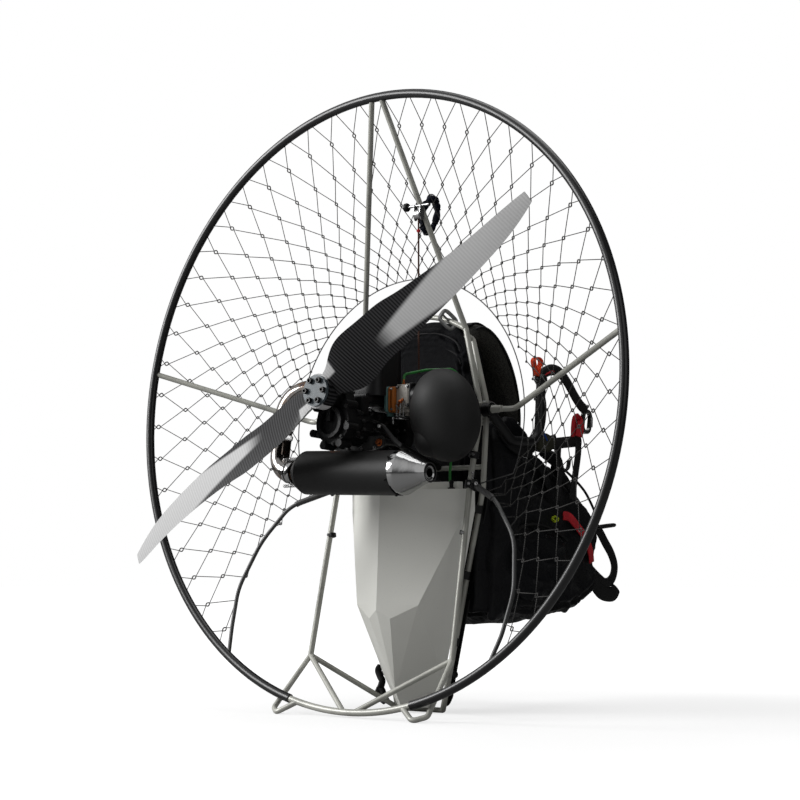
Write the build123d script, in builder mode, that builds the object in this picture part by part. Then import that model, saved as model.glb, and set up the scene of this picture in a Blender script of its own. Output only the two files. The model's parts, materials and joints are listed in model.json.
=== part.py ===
"""Paramotor: a back-carried propeller unit with its round safety hoop, frame, engine and harness.

Right-handed frame in millimetres: +X is the pilot's right, +Y the way the pilot faces and +Z up.
The origin is on the floor, below the centre of the safety hoop. The unit stands as it is parked,
on its two rear foot loops and on the bar between the front feet. The hoop and the propeller's
axis lean forward by hoop_lean.
"""

from build123d import *
import os
from math import cos, radians, sin

os.makedirs("parts", exist_ok=True)

# ---------------------------------------------------------------- driving dimensions
# Safety hoop, the spokes that hold it and the grey arc that closes it near the floor
hoop_radius = 690.0
hoop_tube = 20.0
hoop_lean = 3.75
arc_tube = 15.0
ground_gap = 4.0
arc_end_angle = 75.25
side_strut_angle = 8.35
bow_angle = 57.0
top_strut_gap = 26.0
strut_tube = 12.5
bow_tube = 9.0
foot_tube_angle = 77.3

# The hoop's centre is the height that the frame, engine and harness hang from
hoop_height = hoop_radius * cos(radians(hoop_lean)) + arc_tube / 2 + ground_gap

# Frame: half width (X), depth (Y) and height (Z) of its nodes, and its tubes. Heights named
# below_axis and above_axis count from the hoop's centre, the others from the floor
frame_tube = 13.0
brace_tube = 12.0
bend_radius = 60.0
joint_x, joint_y, joint_z = 206.0, 57.0, 126.0
knee_x, knee_y, knee_below_axis = 195.0, 138.0, 181.0
node_x, node_y, node_below_axis = 216.0, 150.0, 29.0
shoulder_x, shoulder_y, shoulder_above_axis = 151.0, 180.0, 159.0
front_gap = 20.0
front_rise = 14.0
bend_x, bend_y, bend_below_axis = 182.0, 200.0, 200.0
clamp_below_axis = 195.0
front_foot_x, front_foot_y = 66.0, 200.0
foot_reach_x, foot_reach_y = 24.0, 115.0
bow_rise = 40.0
cross_low_below_axis = 152.0
cross_high_below_axis = 55.0

# Arm pivots at the side nodes
arm_x = 236.0
arm_tube = 22.0
arm_boss = 30.0
arm_boss_width = 22.0
arm_swell = 28.0
pivot_pin = 16.0
pivot_clearance = 0.05
saddle_height = 22.0
cup_wall = 3.0
cup_depth = 26.0
side_gap = 1.0

# Fuel tank
tank_half_width = 168.0
tank_side_y = 157.0
tank_front_y = 178.0
tank_crease_y = 60.0
tank_crease_low_y = 43.0
tank_top_below_axis = 201.0
tank_brim = 48.0
tank_waist_z = 242.0
tank_waist_x, tank_waist_y = 89.5, 84.0
tank_low_z = 12.0
deck_height = 17.0
deck_inset = 26.0
cap_diameter = 58.0
cap_height = 22.0

# Propeller and its hub
propeller_radius = 653.0
propeller_angle = 33.4
propeller_y = -137.0
propeller_rise = 3.5
hub_diameter = 76.0
hub_thickness = 26.0
plate_diameter = 68.0
plate_thickness = 7.0
bolt_circle = 50.0
bolt_hole = 8.2
flange_diameter = 68.0
flange_thickness = 10.0
shaft_diameter = 30.0
shaft_clearance = 0.05
shaft_gap = 6.0
shaft_seat = 12.0

# Engine
gear_depth = 40.0
gear_radius = 34.0
case_radius = 47.0
case_depth = 146.0
crank_drop = 62.0
lug_diameter = 17.0
lug_hole = 6.6
starter_radius = 68.0
starter_depth = 26.0
cylinder_y = 28.0
cylinder_below_axis = 10.0
bore_diameter = 62.0
fin_width, fin_depth = 100.0, 90.0
fin_count = 11
fin_pitch = 8.5
fin_thickness = 2.5
shroud_gap = 5.0
shroud_wall = 3.0
shroud_above_axis = 146.0
carb_y, carb_above_axis = 38.0, 4.0
carb_width, carb_depth, carb_height = 38.0, 34.0, 50.0
carb_flange_x = 60.0
intake_diameter = 34.0
airbox_x, airbox_y, airbox_below_axis = 182.0, 78.0, 40.0
airbox_radius, airbox_height = 64.0, 190.0
lobe_x, lobe_y, lobe_below_axis, lobe_radius = 158.0, 52.0, 94.0, 42.0
mount_plate_y, mount_plate_below_axis = -14.0, 103.0
mount_span = 134.0
mount_lug = 26.0
mount_hole = 8.2

# Exhaust
muffler_radius = 49.0
muffler_wall = 2.0
muffler_y, muffler_below_axis = -35.0, 168.0
muffler_slope = 2.0
muffler_left, muffler_seam, muffler_end = -160.0, 141.0, 221.0
outlet_radius = 9.0
header_tube = 44.0
header_wall = 2.0
header_x = -224.0
header_above_axis = 28.0
port_depth = 8.0

# Starter
pulley_share = 0.49
pulley_x_offset = 6.0
pulley_diameter = 22.0
cord_diameter = 4.0

# Harness
back_y = 209.0
back_thickness = 52.0
back_width, back_below_axis, back_above_axis = 340.0, 485.0, 175.0
seat_half_width = 166.0
side_thickness = 34.0
seat_below_axis = 503.0
pad_x, pad_width, pad_thickness = 110.0, 68.0, 18.0

# Clearance between separate soft pieces
gap = 1.0


# ---------------------------------------------------------------- helpers
def mirrored(point):
    """The same point on the other side of the frame."""
    return (-point[0], point[1], point[2])


def bent_tube(points, diameter, radii=()):
    """Round bar along straight runs that are joined by bends of the given radii."""
    with BuildPart() as bar:
        with BuildLine() as path:
            if len(points) > 2:
                FilletPolyline(*points, radius=list(radii))
            else:
                Line(*points)
        with BuildSketch(Plane(origin=path.line @ 0, z_dir=path.line % 0)):
            Circle(diameter / 2)
        sweep()
    return bar.part


def both_sides(points, diameter, radii=()):
    """A bent tube and its mirror image."""
    right = bent_tube(points, diameter, radii)
    left = bent_tube([mirrored(point) for point in points], diameter, radii)
    return [right, left]


def facet(first, second, third):
    """Plane through three points, its normal on the side they are seen anticlockwise from."""
    edge = Vector(*second) - Vector(*first)
    normal = edge.cross(Vector(*third) - Vector(*first))
    return Plane(origin=first, x_dir=edge, z_dir=normal)


def cut_by(*neighbours):
    """Cope the open part round pieces that are already made."""
    for neighbour in neighbours:
        add(neighbour.part, mode=Mode.SUBTRACT)


lean_up = Vector(0, sin(radians(hoop_lean)), cos(radians(hoop_lean)))
lean_back = Vector(0, -cos(radians(hoop_lean)), sin(radians(hoop_lean)))
hoop_plane = Plane(origin=(0, 0, hoop_height), x_dir=(1, 0, 0), z_dir=lean_back)


def hoop_point(angle, radius=hoop_radius):
    """A point of the hoop's plane, at an angle above +X."""
    local = (radius * cos(radians(angle)), radius * sin(radians(angle)), 0)
    return tuple(hoop_plane.from_local_coords(local))


def hoop_arc(start, sweep_angle, diameter):
    """A piece of the hoop from one angle through another."""
    with BuildPart() as piece:
        with BuildLine(hoop_plane) as path:
            CenterArc((0, 0), hoop_radius, start, sweep_angle)
        with BuildSketch(Plane(origin=path.line @ 0, z_dir=path.line % 0)):
            Circle(diameter / 2)
        sweep()
    return piece.part


def save(builder, name):
    """Label a finished piece and write its file."""
    builder.part.label = name
    export_step(builder.part, f"parts/{name}.step")


knee_z = hoop_height - knee_below_axis
node_z = hoop_height - node_below_axis
shoulder_z = hoop_height + shoulder_above_axis
front_bend_z = hoop_height - bend_below_axis
clamp_z = hoop_height - clamp_below_axis
cross_low_z = hoop_height - cross_low_below_axis
cross_high_z = hoop_height - cross_high_below_axis
joint = (joint_x, joint_y, joint_z)
knee = (knee_x, knee_y, knee_z)
node = (node_x, node_y, node_z)
node_front = (node_x + 1, node_y + front_gap, node_z + front_rise)
shoulder = (shoulder_x, shoulder_y, shoulder_z)
front_bend = (bend_x, bend_y, front_bend_z)
clamp_share = (clamp_z - joint_z) / (knee_z - joint_z)
clamp = (joint_x + (knee_x - joint_x) * clamp_share, joint_y + (knee_y - joint_y) * clamp_share, clamp_z)
front_foot = (front_foot_x, front_foot_y, brace_tube / 2)

# ---------------------------------------------------------------- safety hoop
with BuildPart() as hoop_upper_right:
    add(hoop_arc(side_strut_angle, 90 - side_strut_angle, hoop_tube))
save(hoop_upper_right, "hoop_upper_right")

with BuildPart() as hoop_upper_left:
    add(hoop_arc(90, 90 - side_strut_angle, hoop_tube))
save(hoop_upper_left, "hoop_upper_left")

with BuildPart() as hoop_lower_left:
    add(hoop_arc(180 - side_strut_angle, arc_end_angle + side_strut_angle, hoop_tube))
save(hoop_lower_left, "hoop_lower_left")

with BuildPart() as hoop_lower_right:
    add(hoop_arc(-arc_end_angle, arc_end_angle + side_strut_angle, hoop_tube))
save(hoop_lower_right, "hoop_lower_right")

with BuildPart() as base_arc:
    add(hoop_arc(-180 + arc_end_angle, 180 - 2 * arc_end_angle, arc_tube))
save(base_arc, "base_arc")

hoop_pieces = (hoop_upper_right, hoop_upper_left, hoop_lower_left, hoop_lower_right)

# ---------------------------------------------------------------- frame
with BuildPart() as uprights_rear:
    add(both_sides([shoulder, node, knee, joint], frame_tube, [bend_radius, bend_radius]))
save(uprights_rear, "uprights_rear")

front_start = (shoulder_x, shoulder_y, shoulder_z - front_rise)
front_corner = (shoulder_x + 4, shoulder_y + front_gap, shoulder_z - front_rise - 8)
with BuildPart() as uprights_front:
    add(both_sides([front_start, front_corner, node_front, front_bend, front_foot],
                   frame_tube, [8, bend_radius, bend_radius]))
    cut_by(uprights_rear)
save(uprights_front, "uprights_front")

with BuildPart() as top_bow:
    with BuildLine() as bow_line:
        ThreePointArc(mirrored(shoulder), (0, shoulder_y + 8, shoulder_z + bow_rise), shoulder)
    with BuildSketch(Plane(origin=bow_line.line @ 0, z_dir=bow_line.line % 0)):
        Circle(brace_tube / 2)
    sweep()
    cut_by(uprights_rear, uprights_front)
save(top_bow, "top_bow")

# Each foot runs down from the lower joint, back along the floor and in to the base arc
foot_side = (joint_x + 16, joint_y - foot_reach_y + 12, brace_tube + 1)
foot_back = (joint_x - 10, joint_y - foot_reach_y - 8, brace_tube / 2 - 1.7)
with BuildPart() as feet:
    add(both_sides([joint, foot_side, foot_back, hoop_point(-foot_tube_angle)], brace_tube, [12, 14]))
    cut_by(uprights_rear, base_arc)
save(feet, "feet")

with BuildPart() as base_braces:
    add(both_sides([joint, hoop_point(-90 + 1.2)], brace_tube))
    cut_by(uprights_rear, base_arc, feet)
save(base_braces, "base_braces")

with BuildPart() as skids:
    add(both_sides([joint, front_foot], brace_tube))
    cut_by(uprights_rear, uprights_front, feet, base_braces)
save(skids, "skids")

with BuildPart() as foot_bar:
    add(bent_tube([mirrored(front_foot), front_foot], brace_tube))
    cut_by(uprights_front, skids)
save(foot_bar, "foot_bar")

# Spokes that hold the hoop
strut_top = tuple(hoop_plane.from_local_coords((top_strut_gap / 2, hoop_radius, 0)))
with BuildPart() as top_struts:
    add(both_sides([strut_top, shoulder], strut_tube))
    cut_by(uprights_rear, uprights_front, top_bow, *hoop_pieces)
save(top_struts, "top_struts")

cup_x = arm_x + arm_boss_width / 2 + side_gap
strut_start = (cup_x + 6, node_y, node_z)
strut_bend = (node_x + 84, node_y + 12, node_z - 1)
with BuildPart() as side_struts:
    add(both_sides([strut_start, strut_bend, hoop_point(side_strut_angle)], strut_tube, [40]))
    cut_by(*hoop_pieces)
save(side_struts, "side_struts")

# Saddle over the two uprights, the pin the arm turns on and the cup of the side strut
with BuildPart() as side_nodes:
    with BuildSketch(Plane.YZ.offset(node_x)):
        with Locations((node_y, node_z)):
            Circle(pivot_pin / 2)
    extrude(amount=cup_x - node_x)
    with BuildSketch(Plane.YZ.offset(cup_x)):
        with Locations((node_y, node_z)):
            Circle(strut_tube / 2 + cup_wall)
    extrude(amount=cup_depth, taper=4)
    with BuildSketch(Plane.YZ.offset(node_x)):
        with Locations((node_y + front_gap / 2, node_z + front_rise / 2)):
            RectangleRounded(front_gap + frame_tube + 8, saddle_height, 6)
    extrude(amount=frame_tube / 2 + 2, both=True)
    mirror(about=Plane.YZ)
    cut_by(uprights_rear, uprights_front, side_struts)
save(side_nodes, "side_nodes")

# Control points of the lower bow: share of the way down, and how far out and forward of the chord
bow_start = Vector(*clamp) + Vector(14, 0, 0)
bow_chord = Vector(*hoop_point(-bow_angle)) - bow_start
bow_points = [tuple(bow_start)]
for share, out, ahead in ((0.096, 77.0, -30.4), (0.312, 109.2, -19.1), (0.598, 92.7, -13.7), (0.834, 43.7, -2.8)):
    bow_points.append(tuple(bow_start + bow_chord * share + Vector(out, ahead, 0)))
bow_points.append(hoop_point(-bow_angle))
with BuildPart() as lower_bows:
    add(both_sides(bow_points, bow_tube, [100, 150, 150, 180]))
    cut_by(*hoop_pieces)
save(lower_bows, "lower_bows")

with BuildPart() as lower_sockets:
    add(both_sides([clamp, (clamp[0] + 18, clamp[1], clamp[2])], 2 * bow_tube - 3))
    cut_by(uprights_rear, uprights_front, lower_bows)
save(lower_sockets, "lower_sockets")


def on_front_tube(height):
    """Centre of the right front tube at a height between its bend and the side node."""
    share = (height - front_bend_z) / (node_front[2] - front_bend_z)
    return Vector(*front_bend) + (Vector(*node_front) - Vector(*front_bend)) * share


# Cross tubes that carry the engine
with BuildPart() as cross_tubes:
    for height in (cross_low_z, cross_high_z):
        end = on_front_tube(height)
        add(bent_tube([(-end.X, end.Y, end.Z), (end.X, end.Y, end.Z)], brace_tube))
    cut_by(uprights_front)
save(cross_tubes, "cross_tubes")

# ---------------------------------------------------------------- fuel tank
tank_top_z = hoop_height - tank_top_below_axis
tank_shoulder_z = tank_top_z - tank_brim
waist_front_x = 126.5
shoulder_front_x = tank_half_width + 8
crease_waist_y = tank_crease_y - 13


def tank_section(height, side_x, side_y, front_x, crease_y):
    """Five-sided section of the tank, with its rear crease on the middle plane."""
    with BuildSketch(Plane.XY.offset(height)) as section:
        Polygon((-front_x, tank_front_y), (-side_x, side_y), (0, crease_y), (side_x, side_y),
                (front_x, tank_front_y), align=None)
    return section.sketch


waist = (tank_waist_z, tank_waist_x, tank_waist_y, waist_front_x, crease_waist_y)
shoulders = (tank_shoulder_z, tank_half_width, tank_side_y, shoulder_front_x, tank_crease_y - 3)
brim = (tank_top_z, tank_half_width, tank_side_y, shoulder_front_x, tank_crease_y)
tank_c = (0, tank_crease_low_y, tank_waist_z - 72)
tank_d = (tank_waist_x, tank_waist_y, tank_waist_z)
tank_e = (0, tank_crease_low_y + 69, tank_waist_z - 191)
tank_f = (tank_waist_x - 14.5, tank_waist_y + 81, tank_waist_z - 196)
tank_g = (tank_waist_x - 44.5, tank_waist_y + 42, tank_waist_z - 211)
tank_h = (0, tank_crease_low_y + 81, tank_waist_z - 224)
tank_w = (0, crease_waist_y, tank_waist_z)
tank_b = (tank_half_width, tank_side_y, tank_shoulder_z)
with BuildPart() as tank_lower:
    with BuildSketch(Plane.XY.offset(tank_low_z)):
        Polygon((-tank_half_width, 0), (tank_half_width, 0), (tank_half_width, tank_front_y),
                (-tank_half_width, tank_front_y), align=None)
    extrude(amount=tank_waist_z - tank_low_z)
    for corners in ((tank_w, tank_c, tank_d), (tank_c, tank_e, tank_d), (tank_e, tank_f, tank_d),
                    (tank_f, tank_b, tank_d), (tank_e, tank_h, tank_g)):
        split(bisect_by=facet(*corners), keep=Keep.BOTTOM)
        split(bisect_by=facet(*[mirrored(corner) for corner in reversed(corners)]), keep=Keep.BOTTOM)

with BuildPart() as fuel_tank:
    add(tank_section(*waist))
    add(tank_section(*shoulders))
    loft(ruled=True)
    add(tank_section(*shoulders))
    add(tank_section(*brim))
    loft(ruled=True)
    add(tank_lower.part)
    with BuildSketch(Plane.XY.offset(tank_top_z)):
        Polygon((-tank_half_width + deck_inset, tank_front_y),
                (-tank_half_width + deck_inset, tank_side_y + 4), (0, tank_crease_y + 2 * deck_inset),
                (tank_half_width - deck_inset, tank_side_y + 4),
                (tank_half_width - deck_inset, tank_front_y), align=None)
    extrude(amount=deck_height)
save(fuel_tank, "fuel_tank")

with BuildPart() as fuel_cap:
    with BuildSketch(Plane.XY.offset(tank_top_z + deck_height)):
        with Locations((-tank_half_width / 2, tank_front_y - cap_diameter / 2 - 4)):
            RegularPolygon(cap_diameter / 2, 12)
    extrude(amount=cap_height, taper=3)
save(fuel_cap, "fuel_cap")

# ---------------------------------------------------------------- propeller
hub_centre = Vector(0, propeller_y, hoop_height + propeller_rise)
prop_plane = Plane(origin=hub_centre, x_dir=(1, 0, 0), z_dir=lean_back)

blade_stations = (
    # share of radius, chord, pitch, sweep, rake, thickness
    (0.050, 60.0, 22.0, -4.0, -2.0, 22.0),
    (0.095, 84.0, 25.0, -5.0, -4.0, 21.0),
    (0.153, 116.0, 27.0, -4.0, -6.0, 18.0),
    (0.230, 115.0, 26.0, -1.5, -9.0, 15.0),
    (0.306, 108.0, 23.5, -2.0, -12.0, 13.0),
    (0.429, 98.0, 20.5, -8.0, -15.0, 10.5),
    (0.551, 84.5, 17.8, -14.5, -17.0, 8.5),
    (0.704, 69.5, 14.0, -17.0, -16.0, 7.0),
    (0.858, 55.5, 12.0, -12.5, -13.0, 5.5),
    (0.949, 41.0, 11.0, -4.5, -9.0, 4.5),
    (1.000, 28.0, 10.5, 1.0, -7.0, 3.5),
)
with BuildPart() as blade:
    for share, chord, pitch, sweep_back, rake, thickness in blade_stations:
        turn = radians(pitch)
        section_plane = Plane(origin=(share * propeller_radius, sweep_back, -rake),
                              x_dir=(0, cos(turn), sin(turn)), z_dir=(1, 0, 0))
        with BuildSketch(section_plane):
            with BuildLine():
                ThreePointArc((-chord / 2, 0), (-chord * 0.12, -thickness * 0.8), (chord / 2, 0))
                ThreePointArc((chord / 2, 0), (0, thickness * 0.2), (-chord / 2, 0))
            make_face()
    loft()

with BuildPart() as propeller:
    with BuildSketch(prop_plane.offset(-hub_thickness / 2)):
        Circle(hub_diameter / 2)
    extrude(amount=hub_thickness)
    for turn in (propeller_angle, propeller_angle + 180):
        add(prop_plane.location * Rot(0, 0, turn) * blade.part)
    for face, away in ((hub_thickness / 2, 1), (-hub_thickness / 2, -1)):
        with BuildSketch(prop_plane.offset(face)):
            Circle(hub_diameter / 2)
        extrude(amount=away * 2 * hub_thickness, mode=Mode.SUBTRACT)
    with BuildSketch(prop_plane.offset(-hub_thickness)):
        with PolarLocations(bolt_circle / 2, 6):
            Circle(bolt_hole / 2)
    extrude(amount=2 * hub_thickness, mode=Mode.SUBTRACT)
save(propeller, "propeller")

with BuildPart() as hub_plate:
    with BuildSketch(prop_plane.offset(hub_thickness / 2)):
        Circle(plate_diameter / 2)
        with PolarLocations(bolt_circle / 2, 6):
            Circle(bolt_hole / 2, mode=Mode.SUBTRACT)
    extrude(amount=plate_thickness)
save(hub_plate, "hub_plate")

flange_face = -hub_thickness / 2
gear_face = flange_face - flange_thickness - shaft_gap
with BuildPart() as prop_flange:
    with BuildSketch(prop_plane.offset(flange_face - flange_thickness)):
        Circle(flange_diameter / 2)
        with PolarLocations(bolt_circle / 2, 6):
            Circle(bolt_hole / 2, mode=Mode.SUBTRACT)
    extrude(amount=flange_thickness)
    with BuildSketch(prop_plane.offset(gear_face - shaft_seat)):
        Circle(shaft_diameter / 2)
    extrude(amount=shaft_gap + shaft_seat)
save(prop_flange, "prop_flange")

# ---------------------------------------------------------------- engine
cylinder_base_z = hoop_height - cylinder_below_axis
shroud_top_z = hoop_height + shroud_above_axis
carb_z = hoop_height + carb_above_axis
airbox_z = hoop_height - airbox_below_axis
lobe_z = hoop_height - lobe_below_axis
muffler_z = hoop_height - muffler_below_axis
header_z = hoop_height + header_above_axis
mount_plate_z = hoop_height - mount_plate_below_axis
gear_back = gear_face - gear_depth
case_front = gear_back - case_depth
crank_centre = (0, -crank_drop)
gear_lugs = [(-38, 16), (-46, -28), (-52, -84), (-20, -112), (26, -108), (46, -72), (40, -22), (22, 30)]
with BuildPart() as gearbox:
    with BuildSketch(prop_plane.offset(gear_back)):
        Circle(gear_radius)
        with Locations(crank_centre):
            Circle(case_radius)
        make_hull()
    extrude(amount=gear_depth - 12)
    with BuildSketch(prop_plane.offset(gear_back)):
        with Locations(*gear_lugs):
            Circle(lug_diameter / 2)
    extrude(amount=gear_depth - 6)
    with BuildSketch(prop_plane.offset(gear_face - 12)):
        Circle(gear_radius - 6)
        with Locations(crank_centre):
            Circle(case_radius - 12)
            Circle(case_radius - 20, mode=Mode.SUBTRACT)
        with Locations((-2, -crank_drop / 2 - 14)):
            Rectangle(10, 30)
    extrude(amount=12)
    with BuildSketch(prop_plane.offset(gear_face - shaft_seat - 2)):
        Circle(shaft_diameter / 2 + shaft_clearance)
    extrude(amount=shaft_seat + 2, mode=Mode.SUBTRACT)
save(gearbox, "gearbox")

with BuildPart() as crankcase:
    with BuildSketch(prop_plane.offset(case_front)):
        with Locations(crank_centre):
            Circle(case_radius - 5)
    extrude(amount=case_depth)
    for band in (case_front, gear_back - case_depth / 2 - 6, gear_back - 12):
        with BuildSketch(prop_plane.offset(band)):
            with Locations(crank_centre):
                Circle(case_radius)
                with PolarLocations(case_radius, 6, start_angle=30):
                    Circle(lug_diameter / 2 - 1)
        extrude(amount=12)
save(crankcase, "crankcase")

with BuildPart() as starter_housing:
    with BuildSketch(prop_plane.offset(case_front - starter_depth)):
        with Locations(crank_centre):
            Circle(starter_radius)
    extrude(amount=starter_depth)
    with BuildSketch(prop_plane.offset(case_front - starter_depth)):
        with Locations(crank_centre):
            with PolarLocations(starter_radius * 0.6, 9):
                SlotOverall(starter_radius * 0.38, 9)
    extrude(amount=6, mode=Mode.SUBTRACT)
save(starter_housing, "starter_housing")

with BuildPart() as cylinder:
    with BuildSketch(Plane(origin=(0, cylinder_y, cylinder_base_z))):
        Circle(bore_diameter / 2)
    extrude(amount=24 + fin_pitch * fin_count)
    for fin in range(fin_count):
        with BuildSketch(Plane(origin=(0, cylinder_y, cylinder_base_z + 24 + fin_pitch * fin))):
            RectangleRounded(fin_width, fin_depth, 18)
        extrude(amount=fin_thickness)
    cut_by(crankcase, gearbox)
save(cylinder, "cylinder")

with BuildPart() as cooling_shroud:
    with BuildSketch(Plane(origin=(0, cylinder_y, cylinder_base_z + 12))):
        RectangleRounded(fin_width + 2 * (shroud_gap + shroud_wall), fin_depth + 2 * (shroud_gap + shroud_wall),
                         28)
        RectangleRounded(fin_width + 2 * shroud_gap, fin_depth + 2 * shroud_gap, 25, mode=Mode.SUBTRACT)
        with Locations((-fin_width / 2, 0)):
            Rectangle(fin_width, 3 * fin_depth, mode=Mode.SUBTRACT)
    extrude(amount=shroud_top_z - cylinder_base_z - 12)
    with BuildSketch(Plane(origin=(0, cylinder_y, shroud_top_z - shroud_wall))):
        RectangleRounded(fin_width + 2 * (shroud_gap + shroud_wall), fin_depth + 2 * (shroud_gap + shroud_wall),
                         28)
        with Locations((-fin_width / 2, 0)):
            Rectangle(fin_width, 3 * fin_depth, mode=Mode.SUBTRACT)
    extrude(amount=shroud_wall)
    cut_by(crankcase, gearbox)
save(cooling_shroud, "cooling_shroud")

with BuildPart() as mount_plate:
    with BuildSketch(Plane(origin=(0, mount_plate_y, mount_plate_z), x_dir=(1, 0, 0), z_dir=(0, -1, 0))):
        with Locations((-mount_span / 2, 2), (mount_span / 2, 2)):
            Circle(mount_lug / 2)
        with Locations((0, -8)):
            Rectangle(mount_span * 0.6, 16)
        make_hull()
        with Locations((-mount_span / 2, 2), (mount_span / 2, 2)):
            Circle(mount_hole / 2, mode=Mode.SUBTRACT)
    extrude(amount=6)
    cut_by(crankcase, gearbox)
save(mount_plate, "mount_plate")

muffler_drop = sin(radians(muffler_slope))
muffler_plane = Plane(origin=(0, muffler_y, muffler_z), x_dir=(1, 0, -muffler_drop), z_dir=(0, -1, 0))
muffler_axis = Axis((0, muffler_y, muffler_z), (1, 0, -muffler_drop))
inlet = muffler_plane.from_local_coords((muffler_left - 4, 0, 0))
header_low = muffler_plane.from_local_coords((header_x, 0, 0))
with BuildPart() as exhaust_header:
    with BuildLine():
        FilletPolyline((-fin_width / 2 - 2, cylinder_y, header_z), (header_x, cylinder_y - 34, header_z),
                       tuple(header_low), tuple(inlet), radius=[62, 42])
    with BuildSketch(Plane(origin=(-fin_width / 2 - 2, cylinder_y, header_z),
                           z_dir=(header_x + fin_width / 2 + 2, -34, 0))):
        Circle(header_tube / 2)
        Circle(header_tube / 2 - header_wall, mode=Mode.SUBTRACT)
    sweep()
    cut_by(cylinder)
save(exhaust_header, "exhaust_header")

inlet_radius = header_tube / 2 + 2
with BuildPart() as muffler:
    with BuildSketch(muffler_plane):
        with BuildLine():
            Polyline((muffler_left - 4, inlet_radius), (muffler_left + 4, inlet_radius),
                     (muffler_left + 14, muffler_radius - 8), (muffler_left + 28, muffler_radius),
                     (muffler_seam, muffler_radius), (muffler_seam, muffler_radius - muffler_wall),
                     (muffler_left + 29, muffler_radius - muffler_wall),
                     (muffler_left + 15, muffler_radius - 8 - muffler_wall),
                     (muffler_left + 5, inlet_radius - muffler_wall),
                     (muffler_left - 4, inlet_radius - muffler_wall), close=True)
        make_face()
    revolve(axis=muffler_axis)
save(muffler, "muffler")

with BuildPart() as muffler_end_cone:
    with BuildSketch(muffler_plane):
        with BuildLine():
            Polyline((muffler_seam, muffler_radius), (muffler_seam + 20, muffler_radius - 1),
                     (muffler_end - 12, 27), (muffler_end, 25), (muffler_end, outlet_radius),
                     (muffler_end - 30, outlet_radius), (muffler_end - 30, outlet_radius + 3),
                     (muffler_end - 8, outlet_radius + 4), (muffler_end - 14, 24),
                     (muffler_seam + 19, muffler_radius - 1 - muffler_wall),
                     (muffler_seam, muffler_radius - muffler_wall), close=True)
        make_face()
    revolve(axis=muffler_axis)
save(muffler_end_cone, "muffler_end_cone")

with BuildPart() as airbox:
    with BuildSketch(Plane(origin=(airbox_x, airbox_y, airbox_z), x_dir=(1, 0, 0), z_dir=(0, -1, 0))):
        with BuildLine():
            ThreePointArc((14, -airbox_height / 2), (0.76 * airbox_radius, -0.335 * airbox_height),
                          (airbox_radius, 0))
            ThreePointArc((airbox_radius, 0), (0.76 * airbox_radius, 0.335 * airbox_height),
                          (14, airbox_height / 2))
            Polyline((14, airbox_height / 2), (0, airbox_height / 2), (0, -airbox_height / 2),
                     (14, -airbox_height / 2))
        make_face()
    revolve(axis=Axis((airbox_x, airbox_y, airbox_z), (0, 0, 1)))
save(airbox, "airbox")

with BuildPart() as airbox_lobe:
    with BuildSketch(Plane(origin=(lobe_x, lobe_y, lobe_z), x_dir=(1, 0, 0), z_dir=(0, -1, 0))):
        with BuildLine():
            Polyline((0, -lobe_radius), (0, 1.2 * lobe_radius), (12, 1.2 * lobe_radius))
            ThreePointArc((12, 1.2 * lobe_radius), (lobe_radius * 0.9, lobe_radius * 0.45), (lobe_radius, 0))
            ThreePointArc((lobe_radius, 0), (lobe_radius * 0.75, -lobe_radius * 0.7), (8, -lobe_radius))
            Line((8, -lobe_radius), (0, -lobe_radius))
        make_face()
    revolve(axis=Axis((lobe_x, lobe_y, lobe_z), (0, 0, 1)))
    cut_by(airbox)
save(airbox_lobe, "airbox_lobe")

carb_x = carb_flange_x + 26
with BuildPart() as carburettor:
    with BuildSketch(Plane(origin=(carb_x, carb_y, carb_z - carb_height / 2))):
        RectangleRounded(carb_width, carb_depth, 3)
    extrude(amount=carb_height)
    with BuildSketch(Plane(origin=(carb_flange_x, carb_y, carb_z), x_dir=(0, 1, 0), z_dir=(1, 0, 0))):
        Rectangle(carb_depth + 12, carb_height + 4)
    extrude(amount=8)
    with BuildSketch(Plane(origin=(bore_diameter / 2, carb_y, carb_z), x_dir=(0, 1, 0), z_dir=(1, 0, 0))):
        Circle(intake_diameter / 2)
    extrude(amount=carb_flange_x - bore_diameter / 2)
    with BuildSketch(Plane(origin=(carb_x, carb_y + 8, carb_z), x_dir=(0, 1, 0), z_dir=(1, 0, 0))):
        Circle(intake_diameter / 2 - 3)
    extrude(amount=airbox_x - carb_x - 20)
    cut_by(cooling_shroud, cylinder, airbox)
save(carburettor, "carburettor")

lug = (mount_span / 2, mount_plate_y, mount_plate_z + 2)
stud = prop_plane.from_local_coords((starter_radius - 10, 22 - crank_drop, case_front - starter_depth))
high_bar, low_bar = on_front_tube(cross_high_z), on_front_tube(cross_low_z)


def up_to_bar(corner, bar_centre):
    """End of a bracket that comes from a corner and stops on the surface of a cross tube."""
    way = (Vector(*bar_centre) - Vector(*corner)).normalized()
    return tuple(Vector(*bar_centre) - way * (brace_tube / 2 + 0.1))


lug_corner, stud_corner = (lug[0], lug[1] + 50, lug[2]), tuple(stud - lean_back * 25)
with BuildPart() as engine_mounts:
    add(both_sides([lug, lug_corner, up_to_bar(lug_corner, (lug[0], low_bar.Y, cross_low_z))], 14, [40]))
    add(both_sides([tuple(stud), stud_corner, up_to_bar(stud_corner, (stud.X, high_bar.Y, cross_high_z))],
                   12, [30]))
save(engine_mounts, "engine_mounts")

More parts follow.
